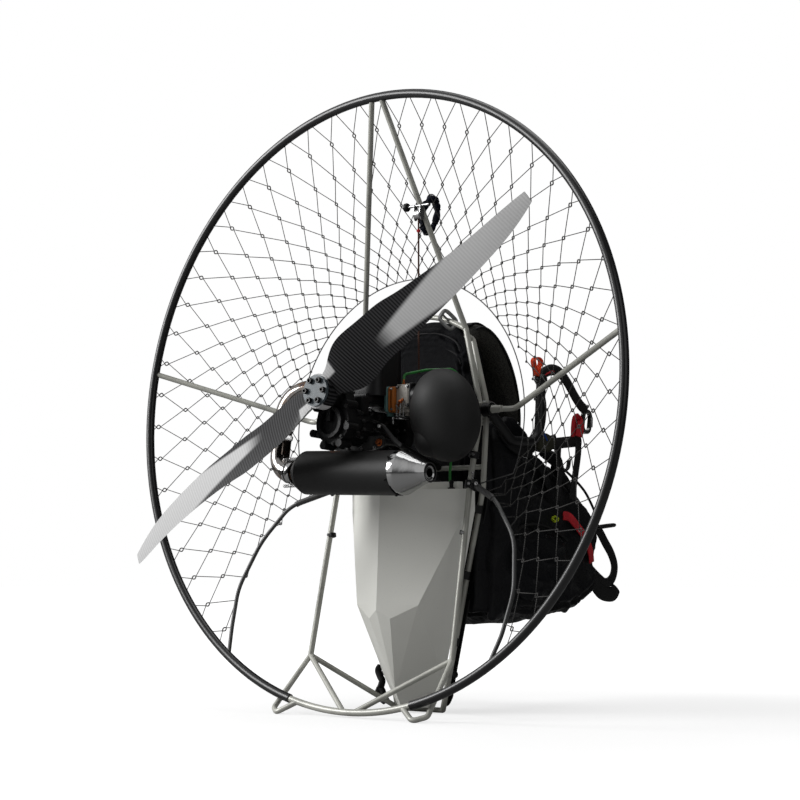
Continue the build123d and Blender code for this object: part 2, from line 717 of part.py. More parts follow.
hose_x, hose_y = 120.0, tank_front_y - 18
deck_z = tank_top_z + deck_height
hose_points = [(carb_x, carb_y, carb_z + carb_height / 2), (carb_x, carb_y + 4, carb_z + 46),
               (124, 74, carb_z + 56), (152, 128, carb_z + 60), (164, 156, carb_z + 38),
               (160, 158, carb_z - 20), (150, 154, carb_z - 80), (hose_x + 4, hose_y, deck_z + 52),
               (hose_x, hose_y, deck_z + 26), (hose_x, hose_y, deck_z)]
with BuildPart() as fuel_hose:
    add(bent_tube(hose_points, 6, [8, 24, 18, 14, 50, 60, 60, 8]))
    cut_by(carburettor)
save(fuel_hose, "fuel_hose")

# ---------------------------------------------------------------- starter
strut_foot, strut_head = Vector(*shoulder), Vector(*strut_top)
pulley_centre = strut_foot + (strut_head - strut_foot) * pulley_share
pulley_x, pulley_y, pulley_z = pulley_centre.X - pulley_x_offset, pulley_centre.Y - 12, pulley_centre.Z
with BuildPart() as starter_pulley:
    with BuildSketch(Plane(origin=(pulley_x - 8, pulley_y, pulley_z), x_dir=(0, 1, 0), z_dir=(1, 0, 0))):
        Circle(pulley_diameter / 2)
    extrude(amount=16)
    cut_by(top_struts)
save(starter_pulley, "starter_pulley")

cord_low = (pulley_x, pulley_y, shroud_top_z - 90)
with BuildPart() as starter_cord:
    add(bent_tube([cord_low, (pulley_x, pulley_y, pulley_z)], cord_diameter))
    cut_by(starter_pulley, starter_housing, airbox, fuel_hose)
save(starter_cord, "starter_cord")

handle_plane = Plane(origin=(pulley_x, pulley_y + 40, pulley_z + 4), x_dir=(0.35, 0.94, 0),
                     z_dir=(0.94, -0.35, 0))
with BuildPart() as starter_handle:
    with BuildSketch(handle_plane):
        SlotOverall(94, 46, rotation=76)
        SlotOverall(58, 18, rotation=76, mode=Mode.SUBTRACT)
    extrude(amount=10, both=True)
    cut_by(top_struts)
save(starter_handle, "starter_handle")

# ---------------------------------------------------------------- harness
back_low_z = hoop_height - back_below_axis
back_top_z = hoop_height + back_above_axis
seat_low_z = hoop_height - seat_below_axis
with BuildPart() as harness_back:
    with BuildSketch(Plane.XZ.offset(-back_y)):
        with Locations((0, (back_low_z + back_top_z) / 2)):
            RectangleRounded(back_width, back_top_z - back_low_z, 70)
    extrude(amount=-back_thickness)
save(harness_back, "harness_back")

seat_back_y = back_y + back_thickness + gap
seat_profile = [(seat_back_y, seat_low_z), (545, seat_low_z + 2), (588, seat_low_z + 25),
                (606, seat_low_z + 65), (604, seat_low_z + 133), (seat_back_y, seat_low_z + 153)]
with BuildPart() as harness_seat:
    with BuildSketch(Plane.YZ.offset(-seat_half_width + gap)):
        with BuildLine():
            FilletPolyline(*seat_profile, radius=[40, 20, 30, 20], close=False)
            Line(seat_profile[-1], seat_profile[0])
        make_face()
    extrude(amount=2 * (seat_half_width - gap))
save(harness_seat, "harness_seat")

side_profile = [(seat_back_y, seat_low_z), (540, seat_low_z), (596, seat_low_z + 35),
                (628, seat_low_z + 103), (632, seat_low_z + 203), (585, seat_low_z + 283),
                (470, seat_low_z + 351), (seat_back_y, seat_low_z + 393)]
with BuildPart() as harness_sides:
    with BuildSketch(Plane.YZ.offset(seat_half_width)):
        with BuildLine():
            FilletPolyline(*side_profile, radius=[50, 30, 50, 50, 60, 80], close=False)
            Line(side_profile[-1], side_profile[0])
        make_face()
    extrude(amount=side_thickness)
    mirror(about=Plane.YZ)
save(harness_sides, "harness_sides")

pad_route = [(pad_x, back_y + back_thickness, back_top_z - 23), (pad_x, 318, back_top_z - 3),
             (pad_x, 418, back_top_z - 123), (pad_x, 420, back_top_z - 235)]
with BuildPart() as shoulder_pads:
    with BuildLine() as pad_line:
        FilletPolyline(*pad_route, radius=[60, 60])
    with BuildSketch(Plane(origin=pad_line.line @ 0, x_dir=(1, 0, 0), z_dir=pad_line.line % 0)):
        RectangleRounded(pad_width, pad_thickness, 6)
    sweep()
    mirror(about=Plane.YZ)
    cut_by(harness_back)
save(shoulder_pads, "shoulder_pads")

loop_x = seat_half_width + side_thickness / 2
loop_route = [(loop_x, 600, seat_low_z + 255), (loop_x, 706, seat_low_z + 235), (loop_x, 716, seat_low_z + 133),
              (loop_x, 618, seat_low_z + 65)]
with BuildPart() as harness_loops:
    add(both_sides(loop_route, 20, [26, 34]))
    cut_by(harness_sides)
save(harness_loops, "harness_loops")

# ---------------------------------------------------------------- arms
strap_x = arm_x + 14
arm_route = [(arm_x, node_y, node_z), (arm_x + 6, node_y + 76, node_z - 65), (strap_x, node_y + 168, node_z - 65),
             (strap_x, node_y + 180, node_z + 79)]
strap_route = [(strap_x, node_y + 192, node_z + 81), (strap_x, node_y + 250, node_z + 101),
               (strap_x, node_y + 300, node_z + 69), (strap_x, node_y + 356, node_z + 29)]
for side, name in ((1, "right"), (-1, "left")):
    with BuildPart() as arm:
        with BuildSketch(Plane.YZ.offset(arm_x - arm_boss_width / 2)):
            with Locations((node_y, node_z)):
                Circle(arm_boss / 2)
        extrude(amount=arm_boss_width)
        add(bent_tube(arm_route, arm_tube, [30, 42]))
        with Locations(arm_route[-1]):
            Sphere(arm_swell / 2)
        with BuildSketch(Plane.YZ.offset(arm_x - arm_boss_width)):
            with Locations((node_y, node_z)):
                Circle(pivot_pin / 2 + pivot_clearance)
        extrude(amount=2 * arm_boss_width, mode=Mode.SUBTRACT)
        if side < 0:
            mirror(about=Plane.YZ, mode=Mode.REPLACE)
    save(arm, f"arm_{name}")
    with BuildPart() as hang_strap:
        add(bent_tube(strap_route, 14, [20, 20]))
        if side < 0:
            mirror(about=Plane.YZ, mode=Mode.REPLACE)
        cut_by(arm)
    save(hang_strap, f"hang_strap_{name}")
    with BuildPart() as carabiner:
        with BuildSketch(Plane.YZ.offset(strap_x - 4)):
            with Locations((node_y + 358, node_z - 6)):
                SlotOverall(58, 36, rotation=80)
                SlotOverall(42, 20, rotation=80, mode=Mode.SUBTRACT)
        extrude(amount=8)
        if side < 0:
            mirror(about=Plane.YZ, mode=Mode.REPLACE)
    save(carabiner, f"carabiner_{name}")
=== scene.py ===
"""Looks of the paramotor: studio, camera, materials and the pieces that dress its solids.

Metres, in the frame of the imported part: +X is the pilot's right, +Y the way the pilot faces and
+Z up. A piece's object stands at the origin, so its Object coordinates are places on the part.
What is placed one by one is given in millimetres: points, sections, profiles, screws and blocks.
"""

import json
from math import cos, pi, radians, sin

import bpy
import numpy as np
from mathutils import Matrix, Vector


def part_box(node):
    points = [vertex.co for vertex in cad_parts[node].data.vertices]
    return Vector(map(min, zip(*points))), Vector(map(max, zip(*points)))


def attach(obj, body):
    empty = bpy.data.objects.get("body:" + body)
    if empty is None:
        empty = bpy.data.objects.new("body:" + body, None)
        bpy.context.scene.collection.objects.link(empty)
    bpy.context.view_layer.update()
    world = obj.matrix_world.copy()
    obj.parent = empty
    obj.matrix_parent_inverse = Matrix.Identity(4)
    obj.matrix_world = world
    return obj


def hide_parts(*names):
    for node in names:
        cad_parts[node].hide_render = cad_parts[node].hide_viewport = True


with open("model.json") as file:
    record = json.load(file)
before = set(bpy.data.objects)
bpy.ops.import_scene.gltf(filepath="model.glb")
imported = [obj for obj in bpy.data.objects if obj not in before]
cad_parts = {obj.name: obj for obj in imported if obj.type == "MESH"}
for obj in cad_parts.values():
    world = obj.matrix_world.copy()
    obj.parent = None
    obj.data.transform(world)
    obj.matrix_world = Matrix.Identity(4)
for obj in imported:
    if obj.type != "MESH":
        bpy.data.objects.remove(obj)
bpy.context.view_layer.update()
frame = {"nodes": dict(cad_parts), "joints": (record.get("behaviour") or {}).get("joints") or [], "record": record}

# ---------------------------------------------------------------- facts of the frame
spin = next(joint for joint in frame["joints"] if joint["name"] == "propeller_spin")
HUB = Vector(spin["pos_m"])
AHEAD = Vector(spin["axis"])
RISE = Vector((0, -AHEAD.z, AHEAD.y))
ACROSS = Vector((1, 0, 0))
FORTH = Vector((0, 1, 0))
UP = Vector((0, 0, 1))
SIDES = ((1, "right"), (-1, "left"))

HOOP_TUBE = 0.020
HOOP_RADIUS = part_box("hoop_lower_right")[1].x - HOOP_TUBE / 2
HOOP_CENTRE = Vector((0, 0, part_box("hoop_upper_right")[1].z - HOOP_TUBE / 2 - HOOP_RADIUS * RISE.z))


def at(x, y, z):
    """A place given in millimetres."""
    return Vector((x / 1000, y / 1000, z / 1000))


def flip(point):
    """The same point on the other side of the part."""
    return Vector((-point[0], point[1], point[2]))


def middle_of(node_name):
    """Middle of a node's box."""
    low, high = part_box(node_name)
    return (low + high) / 2


# ---------------------------------------------------------------- materials
def linear(color):
    """A display colour as the linear one that shaders take."""
    return tuple(c / 12.92 if c <= 0.04045 else ((c + 0.055) / 1.055) ** 2.4 for c in color)


def shade(color, factor):
    """A colour made darker or paler."""
    return tuple(min(1, factor * c) for c in color)


class Nodes:
    """Shader nodes of one tree, linked as they are made."""

    def __init__(self, tree):
        self.tree = tree

    def feed(self, socket, value):
        """Links a socket to another node's output, or sets it."""
        if isinstance(value, bpy.types.NodeSocket):
            self.tree.links.new(value, socket)
        else:
            socket.default_value = value

    def node(self, kind, *values, **named):
        """A node with its first inputs in order; names in lower case are settings, others inputs."""
        made = self.tree.nodes.new("ShaderNode" + kind)
        for name, value in named.items():
            if name.islower():
                setattr(made, name, value)
            else:
                self.feed(made.inputs[name.replace("_", " ")], value)
        for socket, value in zip(made.inputs, values):
            self.feed(socket, value)
        return made

    def math(self, operation, *values):
        """A number worked out from others."""
        return self.node("Math", *values, operation=operation).outputs["Value"]

    def dot(self, vector, direction):
        """A vector's length along a direction."""
        return self.node("VectorMath", vector, tuple(direction), operation="DOT_PRODUCT").outputs["Value"]

    def along(self, direction, origin=(0, 0, 0)):
        """How far a point lies along a direction from an origin."""
        place = self.node("TexCoord").outputs["Object"]
        away = self.node("VectorMath", place, tuple(origin), operation="SUBTRACT")
        return self.dot(away.outputs["Vector"], direction)

    def step(self, value, low, high, *ends):
        """0 below low and 1 above high, or two other ends, smooth between."""
        made = self.node("MapRange", value, low, high, *ends, interpolation_type="SMOOTHSTEP")
        return made.outputs["Result"]

    def place(self, stretch):
        """Object coordinates, stretched."""
        place = self.node("TexCoord").outputs["Object"]
        return self.node("Mapping", Vector=place, Scale=stretch).outputs["Vector"]

    def noise(self, scale, detail=2.0, stretch=(1, 1, 1), distortion=0.0):
        """Cloudy noise, from 0 to 1, with this many features a metre."""
        return self.node("TexNoise", Scale=scale, Detail=detail, Distortion=distortion,
                         Vector=self.place(stretch)).outputs["Fac"]

    def cells(self, scale):
        """Distance to the middle of the nearest cell."""
        return self.node("TexVoronoi", Scale=scale, Vector=self.place((1, 1, 1))).outputs["Distance"]

    def ridges(self, direction, pitch):
        """Parallel ridges across a direction, from 0 to 1."""
        turns = self.math("MULTIPLY", self.along(direction), 2 * pi / pitch)
        return self.math("MULTIPLY_ADD", self.math("SINE", turns), 0.5, 0.5)

    def blend(self, factor, first, second):
        """A mix of two colours, given as linear ones or as sockets."""
        made = self.node("Mix", factor, data_type="RGBA")
        for socket, value in ((made.inputs[6], first), (made.inputs[7], second)):
            self.feed(socket, value if isinstance(value, bpy.types.NodeSocket) else (*value, 1))
        return made.outputs[2]


class Finish(Nodes):
    """One material, with the patterns that drive its colour, gloss and relief."""

    def __init__(self, name, color, roughness, **sockets):
        self.material = bpy.data.materials.new(name)
        self.material.use_nodes = True
        super().__init__(self.material.node_tree)
        self.sockets = self.tree.nodes["Principled BSDF"].inputs
        self.color = linear(color)
        self.sockets["Base Color"].default_value = (*self.color, 1)
        self.sockets["Roughness"].default_value = roughness
        for socket, value in sockets.items():
            self.sockets[socket.replace("_", " ")].default_value = value

    def tint(self, factor, other):
        """Mixes the base colour so far with another one."""
        socket = self.sockets["Base Color"]
        before = socket.links[0].from_socket if socket.is_linked else self.color
        self.feed(socket, self.blend(factor, before, linear(other)))

    def gloss(self, factor, low, high):
        """Roughness between two values."""
        spread = self.node("MapRange", factor, 0, 1, low, high)
        self.feed(self.sockets["Roughness"], spread.outputs["Result"])

    def relief(self, height, depth, strength=1.0):
        """Adds bumps of a real depth, in metres, over the ones there are."""
        made = self.node("Bump", Strength=strength, Distance=depth, Height=height)
        normal = self.sockets["Normal"]
        if normal.is_linked:
            self.feed(made.inputs["Normal"], normal.links[0].from_socket)
        self.feed(normal, made.outputs["Normal"])


def worn(name, color, roughness, mottle, gloss, grain=None, **sockets):
    """A finish mottled with a shade of its colour, uneven in gloss and finely grained."""
    made = Finish(name, color, roughness, **sockets)
    scale, detail, low, high, factor = mottle
    made.tint(made.step(made.noise(scale, detail), low, high), shade(color, factor))
    scale, detail, smoother, rougher = gloss
    made.gloss(made.noise(scale, detail), roughness - smoother, roughness + rougher)
    if grain is not None:
        scale, detail, depth = grain
        made.relief(made.noise(scale, detail), depth)
    return made


def powder_coat(name, color, roughness, metallic=0.0, shine=0.5):
    """Baked paint with a fine orange peel and a little dust."""
    return worn(name, color, roughness, (14, 3, 0.42, 0.62, 0.9), (60, 3, 0.05, 0.07), (500, 2, 0.00003),
                Metallic=metallic, Specular_IOR_Level=shine)


def casting(name, color, roughness):
    """Sand-cast metal under thin black paint, paler on its high spots."""
    return worn(name, color, roughness, (35, 4, 0.5, 0.75, 1.6), (90, 3, 0.12, 0.1), (700, 4, 0.0004),
                Metallic=0.05, Specular_IOR_Level=0.3)


def moulded(name, color, roughness, grain=0.00015):
    """Moulded plastic with a fine spark-eroded grain."""
    plastic = worn(name, color, roughness, (9, 2, 0.35, 0.7, 1.12), (25, 3, 0.05, 0.06),
                   Specular_IOR_Level=0.3)
    plastic.relief(plastic.cells(1100), grain, 0.6)
    return plastic


def machined(name, color, roughness=0.3):
    """Turned or milled metal with faint tool marks."""
    metal = worn(name, color, roughness, (180, 4, 0.35, 0.75, 0.85), (400, 2, 0.06, 0.1), Metallic=0.9)
    metal.relief(metal.noise(1500, 2, (1, 1, 0.15)), 0.00005)
    return metal


def polished(name, color, heat=None):
    """Polished steel, tinted by heat where a direction and two distances say."""
    metal = Finish(name, color, 0.08, Metallic=1.0)
    if heat is not None:
        direction, near, far = heat
        warm = metal.step(metal.along(direction), near, far)
        patches = metal.step(metal.noise(26, 3, distortion=0.8), 0.42, 0.62)
        metal.tint(metal.math("MULTIPLY", warm, patches), (0.45, 0.34, 0.24))
        spots = metal.step(metal.noise(60, 2), 0.6, 0.75)
        metal.tint(metal.math("MULTIPLY", warm, spots), (0.30, 0.27, 0.30))
    metal.gloss(metal.noise(120, 4), 0.05, 0.16)
    metal.relief(metal.noise(45, 2), 0.0008, 0.5)
    return metal


def cloth(name, color, pitch=0.0011, shine=0.045):
    """Woven fabric: two crossing sets of threads, creases and faded high spots."""
    fabric = Finish(name, color, 0.7, Specular_IOR_Level=shine)
    warp = fabric.ridges((0.8, 0.6, 0.1), pitch)
    weft = fabric.ridges((-0.1, 0.35, 0.93), pitch)
    fabric.tint(fabric.step(fabric.noise(22, 4, distortion=0.6), 0.45, 0.75), shade(color, 1.5))
    fabric.tint(fabric.math("MULTIPLY", warp, weft), shade(color, 1.25))
    fabric.gloss(fabric.noise(40, 3), 0.26, 0.54)
    fabric.relief(fabric.math("ADD", warp, weft), 0.0002)
    fabric.relief(fabric.noise(28, 3, distortion=1.2), 0.006, 0.7)
    return fabric


def spacer_mesh(name, color):
    """Open spacer mesh of a padded lining."""
    mesh = Finish(name, color, 0.75, Specular_IOR_Level=0.25)
    holes = mesh.cells(420)
    mesh.tint(mesh.step(holes, 0.3, 0.6), (0.19, 0.19, 0.17))
    mesh.relief(holes, 0.0012)
    mesh.relief(mesh.noise(18, 3), 0.004, 0.5)
    return mesh


def webbing(name, color, along=(0, 0, 1)):
    """Flat woven strap with ribs across its run."""
    strap = Finish(name, color, 0.6, Specular_IOR_Level=0.3)
    strap.tint(strap.step(strap.noise(70, 3), 0.4, 0.75), tuple(min(1, 1.15 * c + 0.01) for c in color))
    strap.relief(strap.ridges(along, 0.0014), 0.00025)
    strap.relief(strap.noise(900, 2), 0.0002)
    return strap


def rope(name, color):
    """Laid cord: spiral strands of two shades."""
    cord = Finish(name, color, 0.7, Specular_IOR_Level=0.3)
    strands = cord.ridges((0.6, 0.2, 0.77), 0.0035)
    cord.tint(cord.step(strands, 0.5, 0.9), shade(color, 0.45))
    cord.relief(strands, 0.0006)
    return cord


def tank_plastic(name):
    """Rotomoulded tank: pale, and mottled at two scales."""
    shell = worn(name, (0.88, 0.88, 0.855), 0.42, (5, 3, 0.35, 0.7, 0.977), (30, 3, 0.06, 0.08),
                 (420, 3, 0.00012), Specular_IOR_Level=0.4)
    shell.tint(shell.step(shell.noise(240, 3), 0.62, 0.8), (0.84, 0.84, 0.82))
    return shell


def carbon_blade(name):
    """Lacquered carbon twill with a painted reflection: pale silver towards the tips and round the hub."""
    blade_angle = radians(33.4)
    twill_angle = radians(11)
    twill_pitch = 0.0070
    span = ACROSS * cos(blade_angle) + RISE * sin(blade_angle)
    chord = RISE * cos(blade_angle) - ACROSS * sin(blade_angle)
    blade = Finish(name, (0.05, 0.05, 0.052), 0.42, Coat_Weight=0.04, Coat_Roughness=0.12,
                   Specular_IOR_Level=0.08)
    math, step = blade.math, blade.step
    out = blade.along(span, HUB)
    reach = math("ABSOLUTE", out)
    edge = math("MULTIPLY", blade.along(chord, HUB), math("SIGN", out))
    stripes = blade.ridges(span * cos(twill_angle) + chord * sin(twill_angle), twill_pitch)
    lines = step(stripes, 0.25, 0.75)
    dark = blade.blend(lines, linear((0.06, 0.06, 0.065)), linear((0.215, 0.215, 0.22)))
    # painted reflection: the pale silver stands for the bright studio light mirrored in the lacquer
    pale = blade.blend(lines, linear((0.73, 0.73, 0.73)), linear((0.77, 0.77, 0.77)))
    # where the painted reflection lies: past a line near one edge, at the tips, and on the flat faces beside the
    # hub
    under_top = step(math("SUBTRACT", math("MULTIPLY_ADD", reach, 0.10, -0.022), edge), -0.004, 0.007)
    over_low = step(math("SUBTRACT", edge, math("MULTIPLY_ADD", reach, -0.14, -0.0012)), -0.004, 0.005)
    tip = step(reach, 0.38, 0.46)
    inner = math("MULTIPLY", over_low, step(reach, 0.18, 0.25))
    outer_reflection = math("MULTIPLY", math("MAXIMUM", under_top, tip), inner)
    root_reflection = math("MULTIPLY", math("SUBTRACT", 1.0, step(reach, 0.060, 0.066)), step(edge, 0.002, 0.008))
    reflection_mask = math("MAXIMUM", outer_reflection, root_reflection)
    # the twill, with the painted reflection blended over it
    blade.feed(blade.sockets["Base Color"], blade.blend(reflection_mask, dark, pale))
    blade.gloss(reflection_mask, 0.38, 0.45)
    blade.relief(stripes, 0.00006)
    return blade


finishes = {
    "hoop": powder_coat("satin_black_hoop", (0.085, 0.085, 0.09), 0.3, shine=0.45),
    "frame": powder_coat("titanium_grey_paint", (0.65, 0.65, 0.62), 0.34, 0.12),
    "base_arc": powder_coat("pale_grey_paint", (0.74, 0.74, 0.71), 0.34, 0.12),
    "bow": powder_coat("dark_grey_rod", (0.27, 0.27, 0.27), 0.42, 0.3),
    "tank": tank_plastic("tank_plastic"),
    "blade": carbon_blade("carbon_twill"),
    "hub": powder_coat("blue_grey_anodised", (0.33, 0.365, 0.385), 0.36, 0.0, 0.3),
    "flange": casting("black_anodised", (0.055, 0.055, 0.06), 0.35),
    "turned": machined("turned_aluminium", (0.70, 0.70, 0.70)),
    "engine": casting("black_casting", (0.05, 0.05, 0.053), 0.45),
    "plate": casting("dark_plate", (0.15, 0.15, 0.15), 0.4),
    "duct": moulded("duct_plastic", (0.065, 0.065, 0.07), 0.42),
    "airbox": moulded("airbox_plastic", (0.11, 0.11, 0.11), 0.60, 0.00008),
    "muffler": powder_coat("heat_proof_black", (0.095, 0.095, 0.095), 0.5, 0.0, 0.22),
    "chrome": polished("polished_steel", (0.62, 0.62, 0.62)),
    "header": polished("polished_header", (0.50, 0.49, 0.48), (ACROSS, -0.25, -0.16)),
    "zinc": machined("zinc_steel", (0.66, 0.66, 0.66), 0.25),
    "bronze": machined("copper_washer", (0.62, 0.34, 0.18)),
    "carburettor": worn("carburettor_metal", (0.60, 0.58, 0.55), 0.4, (120, 4, 0.45, 0.75, 0.83),
                        (300, 2, 0.06, 0.1), (900, 3, 0.0002), Metallic=0.15),
    "teal": moulded("insulator_block", (0.30, 0.42, 0.41), 0.5),
    "orange_gasket": moulded("orange_gasket", (0.62, 0.36, 0.15), 0.45),
    "black_plastic": moulded("black_plastic", (0.04, 0.04, 0.045), 0.4),
    "black_steel": casting("black_screws", (0.03, 0.03, 0.03), 0.35),
    "fabric": cloth("harness_fabric", (0.030, 0.033, 0.043)),
    "side_fabric": cloth("harness_side_fabric", (0.028, 0.031, 0.041), shine=0.19),
    "panel": cloth("harness_panel", (0.028, 0.031, 0.042), 0.0016, 0.16),
    "mesh": spacer_mesh("spacer_mesh", (0.03, 0.03, 0.03)),
    "webbing": webbing("black_webbing", (0.035, 0.035, 0.04)),
    "red": webbing("red_webbing", (0.66, 0.10, 0.14), (0, 1, 0)),
    "orange": webbing("orange_webbing", (0.80, 0.23, 0.05)),
    "blue": webbing("blue_webbing", (0.05, 0.20, 0.46)),
    "lime": rope("lime_cord", (0.70, 0.78, 0.10)),
    "olive": cloth("olive_sleeve", (0.17, 0.17, 0.14)),
    "navy": cloth("handle_cover", (0.06, 0.07, 0.11)),
    "hose": worn("green_hose", (0.13, 0.50, 0.18), 0.28, (60, 2, 0.4, 0.7, 0.8), (90, 2, 0.06, 0.12),
                 (500, 2, 0.0001)),
    "cord": rope("brown_cord", (0.30, 0.17, 0.11)),
    "net": rope("net_twine", (0.27, 0.265, 0.26)),
    "grey_clip": machined("grey_buckle", (0.55, 0.55, 0.55), 0.35),
}

node_finish = {
    "hoop": ("hoop_upper_right", "hoop_upper_left", "hoop_lower_right", "hoop_lower_left"),
    "base_arc": ("base_arc", "feet", "base_braces"),
    "frame": ("uprights_rear", "uprights_front", "top_bow", "skids", "foot_bar", "cross_tubes",
              "side_nodes", "top_struts", "side_struts"),
    "bow": ("lower_bows",),
    "black_plastic": ("lower_sockets", "fuel_cap", "arm_right", "arm_left"),
    "tank": ("fuel_tank",),
    "blade": ("propeller",),
    "hub": ("hub_plate",),
    "flange": ("prop_flange",),
    "turned": ("starter_pulley",),
    "engine": ("gearbox", "crankcase", "cylinder", "starter_housing", "engine_mounts"),
    "plate": ("mount_plate",),
    "duct": ("cooling_shroud",),
    "airbox": ("airbox", "airbox_lobe"),
    "muffler": ("muffler",),
    "chrome": ("muffler_end_cone", "carabiner_right", "carabiner_left"),
    "header": ("exhaust_header",),
    "carburettor": ("carburettor",),
    "fabric": ("harness_back", "harness_seat", "harness_sides"),
    "mesh": ("shoulder_pads",),
    "webbing": ("harness_loops", "hang_strap_right", "hang_strap_left", "starter_handle"),
    "hose": ("fuel_hose",),
    "cord": ("starter_cord",),
}
for finish, names in node_finish.items():
    for node_name in names:
        solid = frame["nodes"][node_name]
        solid.data.materials.clear()
        solid.data.materials.append(finishes[finish].material)


# ---------------------------------------------------------------- studio and camera
def link(name, data):
    """A new object in the scene."""
    made = bpy.data.objects.new(name, data)
    bpy.context.scene.collection.objects.link(made)
    return made


def turned_to(made, place, direction):
    """Puts an object at a place, looking along a direction."""
    made.location = place
    made.rotation_mode = "QUATERNION"
    made.rotation_quaternion = Vector(direction).to_track_quat("-Z", "Y")


def sky():
    """White behind the part, a bright wall on one side in reflections, and dim light all round."""
    world = bpy.data.worlds.new("studio")
    bpy.context.scene.world = world
    world.use_nodes = True
    nodes = Nodes(world.node_tree)
    ray = nodes.node("LightPath").outputs
    seen = nodes.math("MAXIMUM", ray["Is Camera Ray"], ray["Is Transmission Ray"])
    side = nodes.dot(nodes.node("TexCoord").outputs["Generated"], (-0.70, -0.60, 0.39))
    wall = nodes.math("MULTIPLY", ray["Is Glossy Ray"], nodes.step(side, 0.42, 0.64, 0.04, 0.85))
    dim = nodes.math("MULTIPLY", ray["Is Diffuse Ray"], 0.15)
    background = world.node_tree.nodes["Background"]
    nodes.feed(background.inputs["Strength"], nodes.math("MAXIMUM", nodes.math("MAXIMUM", seen, wall), dim))
    background.inputs["Color"].default_value = (1, 1, 1, 1)


def floor():
    """Pale floor that fades to white away from the part."""
    pale = Finish("floor", (0.62, 0.62, 0.62), 0.9)
    squares = [pale.math("POWER", pale.along(way), 2.0) for way in (ACROSS, FORTH)]
    away = pale.math("SQRT", pale.math("ADD", *squares))
    glow = pale.math("MULTIPLY_ADD", pale.step(away, 0.7, 2.6), 0.30, 0.70)
    seen = pale.node("LightPath").outputs["Is Camera Ray"]
    pale.feed(pale.sockets["Emission Strength"], pale.math("MULTIPLY", glow, seen))
    pale.sockets["Emission Color"].default_value = (1, 1, 1, 1)
    size = 30.0
    mesh = bpy.data.meshes.new("floor")
    mesh.from_pydata([(-size, -size, 0), (size, -size, 0), (size, size, 0), (-size, size, 0)], [],
                     [(0, 1, 2, 3)])
    mesh.materials.append(pale.material)
    link("floor", mesh)


def lamp(name, place, size, power):
    """A soft square lamp that lights the middle of the part."""
    light = bpy.data.lights.new(name, "AREA")
    light.shape = "SQUARE"
    light.size = size
    light.energy = power
    turned_to(link(name, light), place, Vector((0, 0.1, 0.7)) - Vector(place))


def camera():
    """The viewpoint: behind the unit on its right, low, looking slightly up."""
    lens = bpy.data.cameras.new("camera")
    lens.lens = 84.58
    lens.sensor_width = 36.0
    made = link("camera", lens)
    turned_to(made, (2.7369, -3.1265, 0.3135), (-0.6408, 0.7622, 0.0915))
    bpy.context.scene.camera = made


bpy.context.scene.view_settings.view_transform = "Standard"
sky()
floor()
camera()
lamp("key", (-3.4, -3.0, 2.6), 2.4, 250)
lamp("fill", (3.4, -1.0, 1.8), 2.4, 16)
lamp("top", (0.3, 0.6, 3.6), 2.2, 40)


# ---------------------------------------------------------------- forms
def eased(value, power):
    """A signed power, which squares off a sine or cosine."""
    return abs(value) ** power * (1 if value > 0 else -1)


def loop(centre, first, second, count, power=1.0):
    """Points round a centre along two half axes, squared off by a power under 1."""
    centre, first, second = Vector(centre), Vector(first), Vector(second)
    turns = [2 * pi * number / count for number in range(count)]
    return [centre + first * eased(cos(turn), power) + second * eased(sin(turn), power) for turn in turns]


def coil(start, first, second, rise, count):
    """A helix with 8 points a turn."""
    return [start + rise * number + first * cos(pi * number / 4) + second * sin(pi * number / 4)
            for number in range(count)]


def smooth(points, steps=6, closed=False):
    """A smooth line through the points."""
    count = len(points)
    line = []
    for index in range(count if closed else count - 1):
        near = [index + k if not closed else (index + k) % count for k in (-1, 0, 1, 2)]
        a, b, c, d = (points[min(max(k, 0), count - 1)] for k in near)
        for step in range(steps):
            t = step / steps
            line.append(0.5 * (2 * b + (c - a) * t + (2 * a - 5 * b + 4 * c - d) * t * t
                               + (3 * b - a - 3 * c + d) * t ** 3))
    return line if closed else line + [points[-1]]


def curve(points, steps=6):
    """A smooth line through points in millimetres."""
    return smooth([at(*point) for point in points], steps)


def upright(line):
    """At each point of a line, the direction across it in its side view."""
    facing = [Vector((0, -(b - a).z, (b - a).y)) for a, b in zip(line[:-1], line[1:])]
    return facing + facing[-1:]


def oval(width, height, sides=16):
    """Section of a flattened pad."""
    turns = [2 * pi * number / sides for number in range(sides)]
    return [(width / 2000 * cos(turn), height / 2000 * sin(turn)) for turn in turns]


def circle(radius, sides=12):
    """Section of a round bar."""
    return oval(2 * radius, 2 * radius, sides)


def band(width, thickness):
    """Section of a flat strap with rounded edges."""
    half, rim = width / 2000, thickness / 2000
    inner = half - rim
    return [(half, 0), (inner, rim), (0, rim * 1.1), (-inner, rim), (-half, 0), (-inner, -rim),
            (0, -rim * 1.1), (inner, -rim)]


